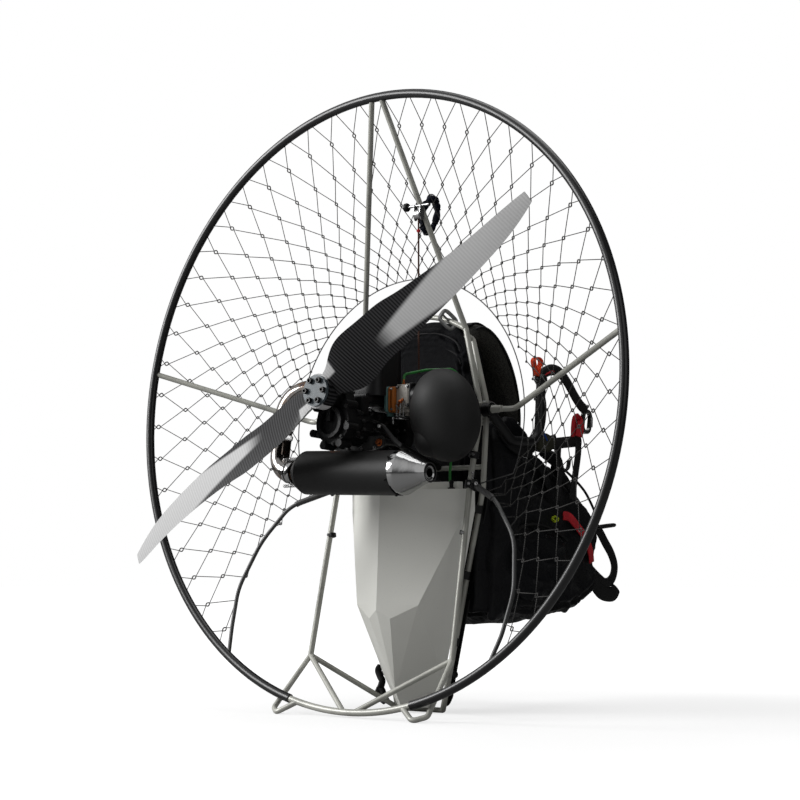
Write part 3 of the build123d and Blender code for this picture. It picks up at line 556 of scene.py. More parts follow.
class Form:
    """Vertices and faces of one piece, gathered from several shapes."""

    def __init__(self):
        self.vertices = []
        self.faces = []

    def stack(self, rings, closed=False):
        """Adds a skin over rings of points, with caps unless the last ring meets the first."""
        start, count, sides = len(self.vertices), len(rings), len(rings[0])
        self.vertices.extend(point for ring in rings for point in ring)
        for ring in range(count if closed else count - 1):
            low, high = start + ring * sides, start + (ring + 1) % count * sides
            for side in range(sides):
                beside = (side + 1) % sides
                self.faces.append([low + side, low + beside, high + beside, high + side])
        if not closed:
            self.faces.append([start + side for side in reversed(range(sides))])
            self.faces.append([start + (count - 1) * sides + side for side in range(sides)])
        return self

    def sweep(self, path, section, side=None, closed=False, scale=None):
        """Adds a section carried along a path; its first axis is side, or follows the path."""
        rings = []
        carried = None
        for index, point in enumerate(path):
            before = path[index - 1] if index > 0 or closed else path[0]
            after = path[(index + 1) % len(path)] if index < len(path) - 1 or closed else path[-1]
            along = (after - before).normalized()
            wanted = side[index] if isinstance(side, list) else side
            if wanted is None:
                wanted = along.orthogonal() if carried is None else carried
            first = (wanted - along * wanted.dot(along)).normalized()
            carried = first
            second = along.cross(first)
            size = 1.0 if scale is None else scale[index]
            rings.append([point + (first * u + second * v) * size for u, v in section])
        return self.stack(rings, closed)

    def run(self, points, section, side=None, steps=6):
        """Adds a section carried along a smooth line through points in millimetres."""
        return self.sweep(curve(points, steps), section, side)

    def lathe(self, profile, origin, axis, sides=24, ring=False):
        """Adds a profile of (radius, height) turned about an axis; a ring's profile closes on itself."""
        axis = Vector(axis).normalized()
        first = axis.orthogonal().normalized()
        second = axis.cross(first)
        rings = []
        for radius, height in profile:
            centre = origin + axis * (height / 1000)
            rings.append(loop(centre, first * (radius / 1000), second * (radius / 1000), sides))
        return self.stack(rings, ring)

    def loft(self, sections, power, sides):
        """Adds a closed form through superellipse sections: centre and two half axes."""
        return self.stack([loop(*section, sides, 2 / power) for section in sections])

    def side_loft(self, rows, x_low, x_high, power, sides):
        """Adds a form between two x planes, from rows of y, lowest z and highest z."""
        wide = at((x_high - x_low) / 2, 0, 0)
        return self.loft([(at((x_low + x_high) / 2, y, (low + high) / 2), wide, at(0, 0, (high - low) / 2))
                          for y, low, high in rows], power, sides)

    def block(self, low, high, bevel=2):
        """Adds a rounded block: a superellipse carried along X with eased ends."""
        centre = (at(*low) + at(*high)) / 2
        half = (at(*high) - at(*low)) / 2
        bevel = bevel / 1000
        ends = 1 - bevel / half.z
        places = ((-half.x, ends), (bevel - half.x, 1), (half.x - bevel, 1), (half.x, ends))
        return self.loft([(centre + ACROSS * x, FORTH * half.y * share, UP * half.z * share)
                          for x, share in places], 9.0, 48)

    def screw(self, origin, axis, radius, height, sides=20):
        """Adds a socket-head screw with its recess."""
        return self.lathe([(radius * 0.9, 0), (radius, height * 0.12), (radius, height * 0.85),
                           (radius * 0.88, height), (radius * 0.55, height), (radius * 0.5, height * 0.55),
                           (0.1, height * 0.5)], origin, axis, sides)

    def hex_head(self, origin, axis, radius, height):
        """Adds a hexagon bolt head with a washer under it."""
        self.lathe([(radius * 1.25, 0), (radius * 1.25, height * 0.2), (radius * 0.9, height * 0.22)],
                   origin, axis)
        return self.lathe([(radius, height * 0.2), (radius, height * 0.9), (radius * 0.85, height),
                           (0.1, height)], origin, axis, 6)

    def flipped(self, side):
        """Moves the form to the other side of the part where side is negative."""
        if side < 0:
            self.vertices = [flip(vertex) for vertex in self.vertices]
            self.faces = [face[::-1] for face in self.faces]
        return self

    def mirrored(self):
        """Adds the form's mirror image."""
        count = len(self.vertices)
        self.vertices += [flip(vertex) for vertex in self.vertices]
        self.faces += [[index + count for index in reversed(face)] for face in self.faces]
        return self

    def piece(self, name, finish, slot=None, body="frame", sharp=35.0):
        """Makes the object, which rides on a body."""
        mesh = bpy.data.meshes.new(name)
        mesh.from_pydata([tuple(vertex) for vertex in self.vertices], [], self.faces)
        mesh.validate()
        mesh.polygons.foreach_set("use_smooth", [True] * len(mesh.polygons))
        mesh.set_sharp_from_angle(angle=radians(sharp))
        mesh.materials.append(finishes[finish].material)
        made = link(name, mesh)
        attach(made, body)
        return made

    def soft_piece(self, name, finish, slot=None, body="frame"):
        """Makes a piece with no sharp edges."""
        return self.piece(name, finish, slot, body, 180)


# ---------------------------------------------------------------- safety net
RING_RADIUS = 0.334
RING_AHEAD = 0.153
RING_DROP = 0.038
RING_END = radians(-22)
NET_TOP = radians(91.5)
LAST_COLUMN = 23
LAST_ROW = 12
KNOT_LENGTH = 0.0050
KNOT_WIDTH = 0.0042
ROW_SHARES = (0, 0.17, 0.345, 0.479, 0.593, 0.688, 0.766, 0.835, 0.895, 0.955, 1.01, 1.06, 1.10)
PULL_COLUMNS = (0, 5, 9, 12, 14, 17, 19, 21, 23)
# each side's columns: turn per column at the hoop and its growth, the same at the ring, outward pulls
NET_SIDES = {
    1: (6.20, 0.0002, 4.91, 0.0687, (0, 0.012, 0.074, 0.161, 0.225, 0.156, 0.0, 0.062, 0.0)),
    -1: (6.39, 0.0001, 4.28, 0.110, (0, 0.028, 0.062, 0.108, 0.115, 0.087, 0.068, 0.077, 0.077)),
}


def on_hoop_plane(across, rise, ahead=0.0):
    """A point from its place across, up and ahead of the hoop's centre, along the leaning plane."""
    return HOOP_CENTRE + ACROSS * across + RISE * rise + AHEAD * ahead


def flat(point):
    """A point's place in the hoop's plane."""
    from_centre = point - HOOP_CENTRE
    return from_centre.dot(ACROSS), from_centre.dot(RISE)


def ring_line(count):
    """Points along the net's inner ring, from its right end over the top to its left end."""
    return [ring_point(turn) for turn in np.linspace(RING_END, pi - RING_END, count)]


def ring_point(turn):
    """A point of the net's inner ring, at an angle above +X."""
    return on_hoop_plane(RING_RADIUS * cos(turn), -RING_DROP + RING_RADIUS * sin(turn), RING_AHEAD)


def net_point(column, row):
    """A knot of the net, on the cone between hoop and ring, and its share of the way."""
    side = 1 if column > 0 else -1
    count = abs(column)
    hoop_turn, hoop_growth, ring_turn, ring_growth, pulls = NET_SIDES[side]
    outer = NET_TOP - side * radians(hoop_turn * count * (1 + hoop_growth * count * count))
    inner = NET_TOP - side * radians(ring_turn * count + ring_growth * count * count)
    outward = np.interp(count, PULL_COLUMNS, pulls)
    share = float(np.interp(row, range(len(ROW_SHARES)), ROW_SHARES) - outward)
    rim = on_hoop_plane(HOOP_RADIUS * cos(outer), HOOP_RADIUS * sin(outer))
    return rim.lerp(ring_point(inner), share), share


def bow_line():
    """Middle line of the right lower bow, from its clamp out to the hoop."""
    points = [vertex.co for vertex in frame["nodes"]["lower_bows"].data.vertices if vertex.co.x > 0]
    reach = [(point - HOOP_CENTRE).length for point in points]
    bins = np.linspace(min(reach), max(reach), 24)
    line = []
    for low, high in zip(bins[:-1], bins[1:]):
        inside = [point for point, far in zip(points, reach) if low <= far <= high]
        if inside:
            line.append(sum(inside, Vector()) / len(inside))
    return line


BOW = bow_line()
OTHER_BOW = [flip(point) for point in BOW]
# outline of the open middle, inside the ring and between the bows
HOLE = [flat(point) for point in ring_line(60) + OTHER_BOW]
HOLE += [(-0.4, -1.0), (0.4, -1.0)] + [flat(point) for point in BOW[::-1]]


def on_net(point, share):
    """True where there is net: inside the hoop and outside the open middle."""
    x, y = flat(point)
    in_hole = False
    for (x1, y1), (x2, y2) in zip(HOLE, HOLE[1:] + HOLE[:1]):
        if (y1 > y) != (y2 > y) and x < (x2 - x1) * (y - y1) / (y2 - y1) + x1:
            in_hole = not in_hole
    return share > 0.012 and not in_hole


def nearest(point, line):
    """The place on a line that is nearest to a point."""
    best = line[0]
    for start, stop in zip(line[:-1], line[1:]):
        run = stop - start
        share = min(1.0, max(0.0, (point - start).dot(run) / run.length_squared))
        best = min(best, start + run * share, key=lambda spot: (spot - point).length)
    return best


def trimmed(start, stop):
    """The last place of the net on the way from a knot inside it to one outside."""
    (column, row), (far_column, far_row) = start, stop
    low, high = 0.0, 1.0
    for _ in range(12):
        middle = (low + high) / 2
        if on_net(*net_point(column + (far_column - column) * middle, row + (far_row - row) * middle)):
            low = middle
        else:
            high = middle
    point, share = net_point(column + (far_column - column) * low, row + (far_row - row) * low)
    near = min(nearest(point, BOW), nearest(point, OTHER_BOW), key=lambda spot: (spot - point).length)
    return near if share > 0.1 and (near - point).length < 0.045 else point


def net():
    """Strands, open diamond knots and the ring that holds the net's inner edge."""
    strands = Form()
    knots = Form()
    strand = circle(1.0, 5)
    halves = range(-2 * LAST_COLUMN, 2 * LAST_COLUMN + 1)
    places = {(half / 2, row): net_point(half / 2, row)
              for row in range(LAST_ROW + 1) for half in halves if (half - row) % 2}

    def tips(column, row):
        """Upper and lower tip of a knot, and its sideways direction."""
        point, share = places[(column, row)]
        size = 1.15 - 0.75 * share
        way = (net_point(column, row + 0.3)[0] - net_point(column, row - 0.3)[0]).normalized()
        across = (net_point(column + 0.3, row)[0] - net_point(column - 0.3, row)[0]).normalized()
        return point - way * KNOT_LENGTH * size, point + way * KNOT_LENGTH * size, across * size

    for (column, row), (point, share) in places.items():
        if not on_net(point, share):
            continue
        outer, inner, across = tips(column, row)
        corners = [outer, point + across * KNOT_WIDTH, inner, point - across * KNOT_WIDTH]
        knots.sweep(smooth(corners, 2, closed=True), circle(1.5, 5), closed=True)
        for step_column in (-0.5, 0.5):
            for step_row, tip in ((1, inner), (-1, outer)):
                beside = (column + step_column, row + step_row)
                if beside not in places:
                    continue
                if not on_net(*places[beside]):
                    end = trimmed((column, row), beside)
                    if (end - tip).length > 0.004:
                        strands.sweep([tip, tip.lerp(end, 0.5), end], strand)
                elif step_row > 0:
                    far = tips(*beside)[0]
                    strands.sweep([tip, tip.lerp(far, 0.5), far], strand)
    strands.soft_piece("net_strands", "net", "cord")
    knots.soft_piece("net_knots", "net", "cord")
    ring = Form().sweep([BOW[0]] + ring_line(90) + [OTHER_BOW[0]], circle(1.4, 6))
    ring.soft_piece("net_ring", "bow", "strut")


net()

# ---------------------------------------------------------------- propeller hardware
def propeller_bolts():
    """Six black cap screws in the hub disc."""
    pattern = next(mount for mount in frame["record"]["mounts"] if mount["name"] == "propeller_bolts")
    radius = pattern["dims"]["pcd_mm"] / 2000
    screws = Form()
    for place in loop(pattern["pos_m"], ACROSS * radius, RISE * radius, 6):
        screws.screw(place, -AHEAD, 6.5, 7.5)
    screws.piece("hub_screws", "black_steel", "engine", "propeller")


propeller_bolts()

# ---------------------------------------------------------------- soft goods
def points_of(piece):
    """A piece's vertices as an array."""
    found = np.empty(len(piece.data.vertices) * 3)
    piece.data.vertices.foreach_get("co", found)
    return found.reshape(-1, 3)


def push(piece, heights):
    """Moves a piece's vertices out along their normals."""
    normals = np.empty(len(heights) * 3)
    piece.data.vertex_normals.foreach_get("vector", normals)
    move_points(piece, points_of(piece) + normals.reshape(-1, 3) * heights[:, None])


def move_points(piece, places):
    """Puts a piece's vertices at new places."""
    piece.data.vertices.foreach_set("co", np.ascontiguousarray(places).ravel())
    piece.data.update()


def settle(piece):
    """Keeps what the piece's modifiers make as its own mesh."""
    graph = bpy.context.evaluated_depsgraph_get()
    made = bpy.data.meshes.new_from_object(piece.evaluated_get(graph), depsgraph=graph)
    piece.modifiers.clear()
    piece.data = made


def stuffed(piece, voxel, cap):
    """Remeshes a closed form and blows it up as cloth, no point further than the cap, in millimetres."""
    remesh = piece.modifiers.new("remesh", "REMESH")
    remesh.mode = "VOXEL"
    remesh.voxel_size = voxel / 1000
    settle(piece)
    start = points_of(piece)
    modifier = piece.modifiers.new("cloth", "CLOTH")
    settings = modifier.settings
    settings.quality = 4
    settings.mass = 0.4
    settings.tension_stiffness = 8
    settings.compression_stiffness = 8
    settings.shear_stiffness = 4
    settings.bending_stiffness = 0.6
    settings.use_pressure = True
    settings.uniform_pressure_force = 4.0
    settings.effector_weights.gravity = 0
    last_frame = 20
    modifier.point_cache.frame_end = last_frame
    for number in range(1, last_frame + 1):
        bpy.context.scene.frame_set(number)
    settle(piece)
    shift = points_of(piece) - start
    length = np.linalg.norm(shift, axis=1, keepdims=True)
    move_points(piece, start + shift * np.minimum(1, cap / 1000 / np.maximum(length, 1e-9)))
    bpy.context.scene.frame_set(1)
    piece.modifiers.new("rounding", "SUBSURF").levels = 1
    settle(piece)
    piece.data.polygons.foreach_set("use_smooth", [True] * len(piece.data.polygons))


def near_line(places, line):
    """Distance from each place to a line of points."""
    found = np.full(len(places), 1e9)
    line = np.array(line) / 1000
    for start, end in zip(line[:-1], line[1:]):
        run = end - start
        share = np.clip((places - start) @ run / max(run @ run, 1e-12), 0, 1)
        found = np.minimum(found, np.linalg.norm(places - start - share[:, None] * run, axis=1))
    return found


def sewn(piece, lines, width, depth):
    """Draws the surface in along sewn lines, with a low roll on each side, all in millimetres."""
    places = points_of(piece)
    moved = np.zeros(len(places))
    for line in lines:
        away = near_line(places, line) / (width / 1000)
        moved += depth / 1000 * (0.45 * np.exp(-((away - 2.2) ** 2)) - np.exp(-away ** 2))
    push(piece, moved)


def folds(piece, depth, direction, length, seed):
    """Nine irregular creases that run across a direction, about this far apart, in millimetres."""
    places = points_of(piece)
    chance = np.random.default_rng(seed)
    direction = np.array(direction, float) / np.linalg.norm(direction)
    length = length / 1000
    total = np.zeros(len(places))
    for _ in range(9):
        way = direction + chance.normal(0, 0.45, 3)
        way /= np.linalg.norm(way)
        wave = length * chance.uniform(0.6, 2.2)
        bend = np.sin(places @ np.roll(way, 1) * 2 * pi / (wave * 2.9) + chance.uniform(0, 6))
        patch = np.sin(places @ np.roll(way, 2) * 2 * pi / (wave * 3.7) + chance.uniform(0, 6))
        crest = 1 - np.abs(np.sin(places @ way * pi / wave + 0.9 * bend + chance.uniform(0, 6)))
        total += crest ** 1.5 * np.clip(patch + 0.25, 0, 1) * wave / length
    total /= max(total.max(), 1e-9)
    push(piece, depth / 1000 * (total * 2 - 0.8))


def padded(node=None):
    """Hides the solid that a padded piece of fabric stands for, where one is given."""
    if node is not None:
        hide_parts(node)


def harness_back():
    """Back cushion with a rolled top, sewn panels, piping and a stud."""
    rows = ((216, 135), (224, 156), (260, 165), (400, 167), (600, 167), (740, 166), (800, 158), (844, 134),
            (872, 104), (889, 72), (897, 38))
    depths = [14, 14] + [22] * (len(rows) - 3) + [14]
    back = Form().loft([(at(0, 235, height), at(width, 0, 0), at(0, depth, 0))
                        for (height, width), depth in zip(rows, depths)], 4.0, 56)
    back = back.soft_piece("back_cushion", "fabric")
    stuffed(back, 6, 8)
    top_seam = [(-112, 209, 812), (-97, 209, 837), (-50, 209, 857), (0, 209, 861), (50, 209, 857),
                (97, 209, 837), (112, 209, 812)]
    low_seam = [(x * 1.02, y, z - 30) for x, y, z in top_seam]
    edges = [[(side * x, 209, z) for x, z in ((112, 800), (117, 720), (120, 600), (118, 400), (110, 240))]
             for side, _ in SIDES]
    front = [[(x, 261, 830), (x, 261, 250)] for x in (-75, 75)]
    front += [[(-150, 261, z), (150, 261, z)] for z in (720, 580, 440, 320)]
    sewn(back, [low_seam] + edges, 3.5, 3.5)
    sewn(back, [top_seam], 4.5, 5)
    sewn(back, front, 5, 4)
    folds(back, 3.5, (0.35, 0, 1), 70, 3)
    padded("harness_back")
    piping = Form()
    for seam in (top_seam, low_seam):
        piping.run([(x, y - 0.6, z + 2) for x, y, z in seam], circle(1.6, 6))
    piping.soft_piece("back_piping", "webbing", "webbing")
    knob = Form().lathe([(5, 0), (6, 3), (6, 6), (3, 8), (0.1, 8.2)], at(12, 210, 758), -FORTH, 16)
    knob.piece("back_stud", "black_plastic", "frame")


def harness_seat():
    """Cushion of the seat over the stowage bag, between the side panels."""
    rows = ((262, 225, 318), (270, 206, 336), (310, 202, 343), (420, 202, 340), (520, 214, 342),
            (570, 232, 344), (595, 250, 336), (603, 272, 318))
    seat = Form().side_loft(rows, -163, 163, 4.5, 64).soft_piece("seat_cushion", "fabric")
    stuffed(seat, 6, 8)
    sewn(seat, [[(-160, y, 346), (160, y, 346)] for y in (360, 460, 550)], 5, 5)
    sewn(seat, [[(x, 290, 346), (x, 590, 346)] for x in (-90, 90)], 5, 4)
    folds(seat, 3, (1, 0.5, 0.1), 70, 5)
    padded("harness_seat")


def harness_sides():
    """Sagging side panels, their pockets, the folds under the hip straps and the panels' edges."""
    rows = ((214, 222, 640), (222, 203, 668), (248, 199, 672), (285, 198, 630), (320, 198, 600),
            (360, 198, 592), (410, 199, 584), (450, 203, 566), (490, 208, 547), (530, 216, 526),
            (570, 229, 500), (600, 243, 470), (618, 258, 448), (628, 280, 425))
    pocket_rows = ((268, 285, 350), (276, 255, 400), (300, 240, 425), (340, 234, 430), (390, 238, 424),
                   (440, 248, 414), (480, 262, 400), (500, 280, 380))
    bunches = (((204, 330, 585), (216, 372, 556), (206, 420, 500), 30),
               ((204, 380, 588), (222, 425, 570), (208, 482, 520), 34),
               ((203, 300, 560), (212, 330, 520), (204, 352, 470), 26),
               ((203, 430, 560), (214, 470, 530), (204, 540, 480), 26))
    edge = ((172, 226, 226), (174, 230, 320), (175, 232, 440), (176, 230, 560), (177, 226, 652))
    for side, word in SIDES:
        left = int(side < 0)
        x = side * 183
        panel = Form().side_loft(rows, x - 15, x + 15, 3.0, 56)
        panel = panel.soft_piece("side_panel_" + word, "side_fabric")
        stuffed(panel, 6, 10)
        seams = (((300, 585), (295, 500), (300, 440)), ((300, 500), (400, 470), (520, 430), (600, 360)),
                 ((270, 232), (420, 230), (550, 252), (620, 300)))
        sewn(panel, [[(side * 200, y, z) for y, z in seam] for seam in seams], 5, 6)
        folds(panel, 9, (0, 0.9, 0.5), 75, 7 + left)
        padded("harness_sides")
        x = side * 201
        pouch = Form().side_loft(pocket_rows, x - 8, x + 8, 2.6, 48)
        pouch = pouch.soft_piece("side_pocket_" + word, "panel")
        stuffed(pouch, 5, 10)
        folds(pouch, 8, (0, 0.6, 0.8), 45, 11 + left)
        padded()
        gather = Form()
        for *points, width in bunches:
            line = curve(points)
            sizes = [0.35 + 0.65 * sin(pi * number / (len(line) - 1)) for number in range(len(line))]
            gather.sweep(line, oval(width, 16), Vector((0.3, 0.5, 1)), scale=sizes)
        gathered = gather.flipped(side).soft_piece("hip_folds_" + word, "side_fabric")
        stuffed(gathered, 5, 5)
        folds(gathered, 4, (0, 0.8, 0.6), 35, 15 + left)
        padded()
        gusset = Form().run([(side * x, y, z) for x, y, z in edge], band(70, 14),
                            Vector((side * 0.5, 0.86, 0)))
        folds(gusset.soft_piece("side_gusset_" + word, "panel", "fabric"), 3, (0, 0.6, 0.8), 60, 31)
    trim = Form().run([(208, 272, 392), (210, 310, 418), (211, 370, 424), (210, 430, 412), (207, 492, 388)],
                      band(7, 3), Vector((0, 0.1, 1)))
    trim.run([(201, 262, 585), (203, 300, 594), (203, 360, 595), (202, 410, 588), (202, 450, 571),
              (202, 490, 552), (202, 530, 531), (202, 570, 505), (201, 602, 472), (200, 624, 444)],
             circle(3, 8), steps=4)
    trim.run([(206, 304, 600), (207, 304, 575), (206, 304, 543)], band(7, 3), FORTH)
    trim.mirrored().soft_piece("side_trim", "webbing", "webbing")


def shoulder_pads():
    """Curved shoulder pads with mesh lining and piping, and the straps sewn along them."""
    line = curve([(107, 236, 848), (107, 258, 854), (107, 287, 844), (107, 321, 817), (107, 349, 778),
                  (107, 368, 730), (107, 376, 682), (107, 375, 650)], 5)
    last = len(line) - 1
    away = [line[min(number + 1, last)] - line[max(number - 1, 0)] for number in range(last + 1)]
    out = [Vector((0, -way.z, way.y)).normalized() for way in away]
    for side, word in SIDES:
        sections = []
        for number, point in enumerate(line):
            ends = min(1, 0.45 + 0.25 * min(number, last - number))
            sections.append((Vector((side * point.x, point.y, point.z)), ACROSS * 0.037 * ends,
                             out[number] * 0.027 * ends))
        pad = Form().loft(sections, 3.0, 32).soft_piece("shoulder_pad_" + word, "mesh")
        stuffed(pad, 5, 9)
        folds(pad, 2, (0, 1, 0.4), 50, 19)
        padded("shoulder_pads")
    outer = [point + way * 0.0285 for point, way in zip(line, out)]
    trim = Form()
    for x in (0.073, 0.141):
        trim.sweep([Vector((x, *inner.yz)).lerp(Vector((x, *point.yz)), 0.62)
                    for point, inner in zip(outer, line)], circle(3.2, 8))
    trim.sweep(outer, band(40, 4), ACROSS)
    trim.mirrored().soft_piece("shoulder_straps", "webbing", "webbing")


def buckle(centre, first, second, width, height, rod):
    """A flat ladder buckle on each side: a rounded frame with a middle bar."""
    first = Vector(first).normalized() * (width / 2000)
    second = Vector(second).normalized() * (height / 2000)
    form = Form().sweep(loop(centre, first, second, 24, 0.5), circle(rod, 8), closed=True)
    return form.sweep([centre - first, centre, centre + first], circle(rod * 0.5, 8)).mirrored()


def harness_straps():
    """Webbing, loops and buckles of the hips, legs and back."""
    lobe = curve([(192, 628, 420), (191, 646, 412), (190, 672, 386), (190, 698, 358), (190, 711, 328),
                  (190, 700, 300), (190, 672, 288), (190, 642, 300), (190, 612, 318)])
    black = Form().sweep(lobe, oval(26, 10), upright(lobe))
    for points, section, side in (
            ([(190, 612, 300), (190, 650, 268), (190, 700, 262), (190, 716, 276)], oval(36, 12),
             (0, -0.2, 1)),
            ([(203, 290, 598), (226, 330, 604), (243, 378, 607), (247, 430, 613), (247, 487, 619)],
             oval(26, 9), UP),
            ([(243, 384, 628), (248, 402, 560), (246, 400, 505), (244, 397, 479)], band(20, 3.5), FORTH),
            ([(250, 470, 630), (252, 472, 596), (250, 462, 540), (248, 450, 482)], band(24, 3.5), FORTH),
            ([(246, 404, 600), (248, 400, 570), (249, 412, 548), (249, 432, 552), (248, 440, 572)],
             band(12, 3), ACROSS),
            ([(206, 345, 590), (228, 352, 640), (240, 345, 690), (243, 330, 722)], oval(34, 10), FORTH),
            ([(206, 232, 640), (214, 262, 604), (218, 300, 590), (212, 340, 588)], oval(30, 12),
             (0, 0.4, 1)),
            ([(168, 300, 352), (120, 420, 372), (60, 560, 366), (0, 604, 352)], band(34, 4), FORTH)):
        black.run(points, section, Vector(side))
    loops = black.mirrored().soft_piece("harness_webbing", "webbing", "webbing")
    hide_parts("harness_loops")

    pull = Form().run([(211, 466, 446), (215, 488, 442), (216, 520, 420), (215, 552, 394), (213, 574, 366),
                       (210, 584, 338)], band(22, 5), Vector((0, 0.6, 0.8)))
    pull.soft_piece("pull_handle", "red", "webbing")
    riser = Form().run([(249, 462, 628), (251, 460, 650), (252, 464, 668), (254, 472, 668), (256, 474, 650),
                        (254, 472, 628)], band(30, 3.5), FORTH)
    riser.mirrored().soft_piece("riser_loop", "red", "webbing")
    speed = Form().run([(248, 346, 612), (249, 334, 628), (249, 326, 634), (250, 330, 622)], band(16, 3),
                       ACROSS)
    speed.mirrored().soft_piece("speed_loop", "blue", "webbing")

    knot = Form()
    for turn in (0, 2 * pi / 3, 4 * pi / 3):
        ring = [at(211 + 4 * cos(angle + turn), 435 + 7 * cos(angle), 437 + 6 * sin(angle + turn / 2))
                for angle in (2 * pi * step / 14 for step in range(14))]
        knot.sweep(ring, circle(2.4, 6), closed=True)
    knot.soft_piece("safety_knot", "lime", "cord")

    sleeve = ((314, 600, 618), (320, 590, 628), (345, 585, 632), (370, 588, 626), (380, 600, 616))
    waist = ((236, 634, 650), (246, 620, 664), (280, 611, 662), (315, 610, 640), (328, 614, 628))
    pads = []
    for side, word in SIDES:
        for name, rows, x, half, finish in (("hip_sleeve_", sleeve, 244, 10, "olive"),
                                            ("waist_pad_", waist, 206, 9, "panel")):
            form = Form().side_loft(rows, side * x - half, side * x + half, 2.6, 28)
            pads.append(form.soft_piece(name + word, finish))
    for pad in pads:
        stuffed(pad, 4, 5)
        folds(pad, 2, (0, 0.5, 0.8), 30, 23)
        padded()

    ladder = buckle(at(101, 178, 884), (0.5, 0.5, -0.7), (0.49, 0.32, 0.81), 40, 26, 4.6)
    ladder.piece("ladder_buckles", "grey_clip", "steel")
    rear = buckle(at(207, 650, 425), (0, 1, 0.1), (1, 0, 0), 60, 18, 4.5)
    rear.piece("rear_buckles", "black_plastic", "frame")


def arm_dressing():
    """Hang straps, colour loops and rings, which swing with the arms."""
    line = curve([(247, 318, 752), (249, 345, 768), (250, 372, 776), (250, 402, 772), (250, 432, 752),
                  (250, 462, 722), (250, 486, 702), (250, 506, 692)])
    facing = upright(line)
    tag = [(250, 314, 757), (250, 318, 772), (250, 328, 789), (250, 322, 797), (250, 308, 798),
           (250, 300, 790), (250, 306, 772), (250, 311, 757)]
    for side, word in SIDES:
        body = "arm_" + word
        strap = Form().sweep(line, oval(26, 12), facing).flipped(side)
        strap = strap.soft_piece("hang_strap_web_" + word, "webbing", "webbing", body)
        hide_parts("hang_strap_" + word)
        trim = Form().sweep([point + at(5.5, 0, -4) for point in line[3:13]], band(5, 2), facing[3:13])
        trim.flipped(side).soft_piece("strap_trim_" + word, "red", "webbing", body)
        tab = Form().run(tag, band(16, 3), ACROSS).flipped(side)
        tab.soft_piece("brake_loop_" + word, "orange", "webbing", body)
        ring = loop(at(250, 313, 752), FORTH * 0.008, UP * 0.008, 20)
        steel = Form().sweep(ring, circle(1.8, 8), closed=True)
        steel.screw(at(258, 500, 700), ACROSS, 4, 4)
        steel.lathe([(4.5, -12), (5.2, -10), (5.2, 10), (4.5, 12)], at(250, 526.5, 665), (0, 0.06, 1), 16)
        steel.flipped(side).piece("arm_steel_" + word, "zinc", "steel", body)


harness_back()
harness_seat()
harness_sides()
shoulder_pads()
harness_straps()
arm_dressing()

# ---------------------------------------------------------------- hardware
BACKWARD = -FORTH


def touch(node_name, origin, direction):
    """Where a ray meets a solid and the surface's direction there; the list is empty for a miss."""
    hit, place, normal, _ = frame["nodes"][node_name].ray_cast(Vector(origin), Vector(direction))
    return [(place, normal)] if hit else []


def tube_centre(node_name, height, near):
    """Middle of an upright's tube at a height, close to a place (x, y)."""
    mesh = frame["nodes"][node_name].data
    found = []
    for edge in mesh.edges:
        a, b = (mesh.vertices[index].co for index in edge.vertices)
        if (a.z - height) * (b.z - height) < 0:
            point = a.lerp(b, (height - a.z) / (b.z - a.z))
            if (point.xy - Vector(near)).length < 0.016:
                found.append(point)
    return sum(found, Vector()) / len(found) if found else Vector((*near, height))


def tube_run(node_name, height, near, step):
    """Middle and direction of an upright's tube, with the direction read over a step in height."""
    centre = tube_centre(node_name, height, near)
    other = tube_centre(node_name, height + step, centre.xy)
    return centre, ((other - centre) / step).normalized()


def side_fittings():
    """Bracket, boss and ring where each side strut meets the uprights."""
    silver = Form()
    black = Form()
    middle = middle_of("side_nodes")
    axle = Vector((0, middle.y, middle.z - 0.003))
    black.lathe([(10, 0), (15.5, 1), (16.5, 6), (15, 12), (10.5, 14)], axle + ACROSS * 0.212, ACROSS, 28)
    silver.lathe([(10.5, 0), (13.5, 1), (14, 5), (12.5, 7), (10, 7)], axle + ACROSS * 0.2262, ACROSS, 28)
    black.lathe([(9, 0), (11.2, 1), (11.2, 6), (9.2, 8)], axle + ACROSS * 0.2335, ACROSS)
    silver.run([(212, 147, 664), (212, 149, 682), (213, 166, 691), (214, 190, 690), (215, 206, 682),
                (216, 210, 668)], band(10, 4), ACROSS, 5)
    silver.screw(axle + ACROSS * 0.2415, ACROSS, 5, 4)
    silver.mirrored().piece("node_brackets", "grey_clip", "steel")
    black.mirrored().piece("node_bosses", "black_plastic", "frame")


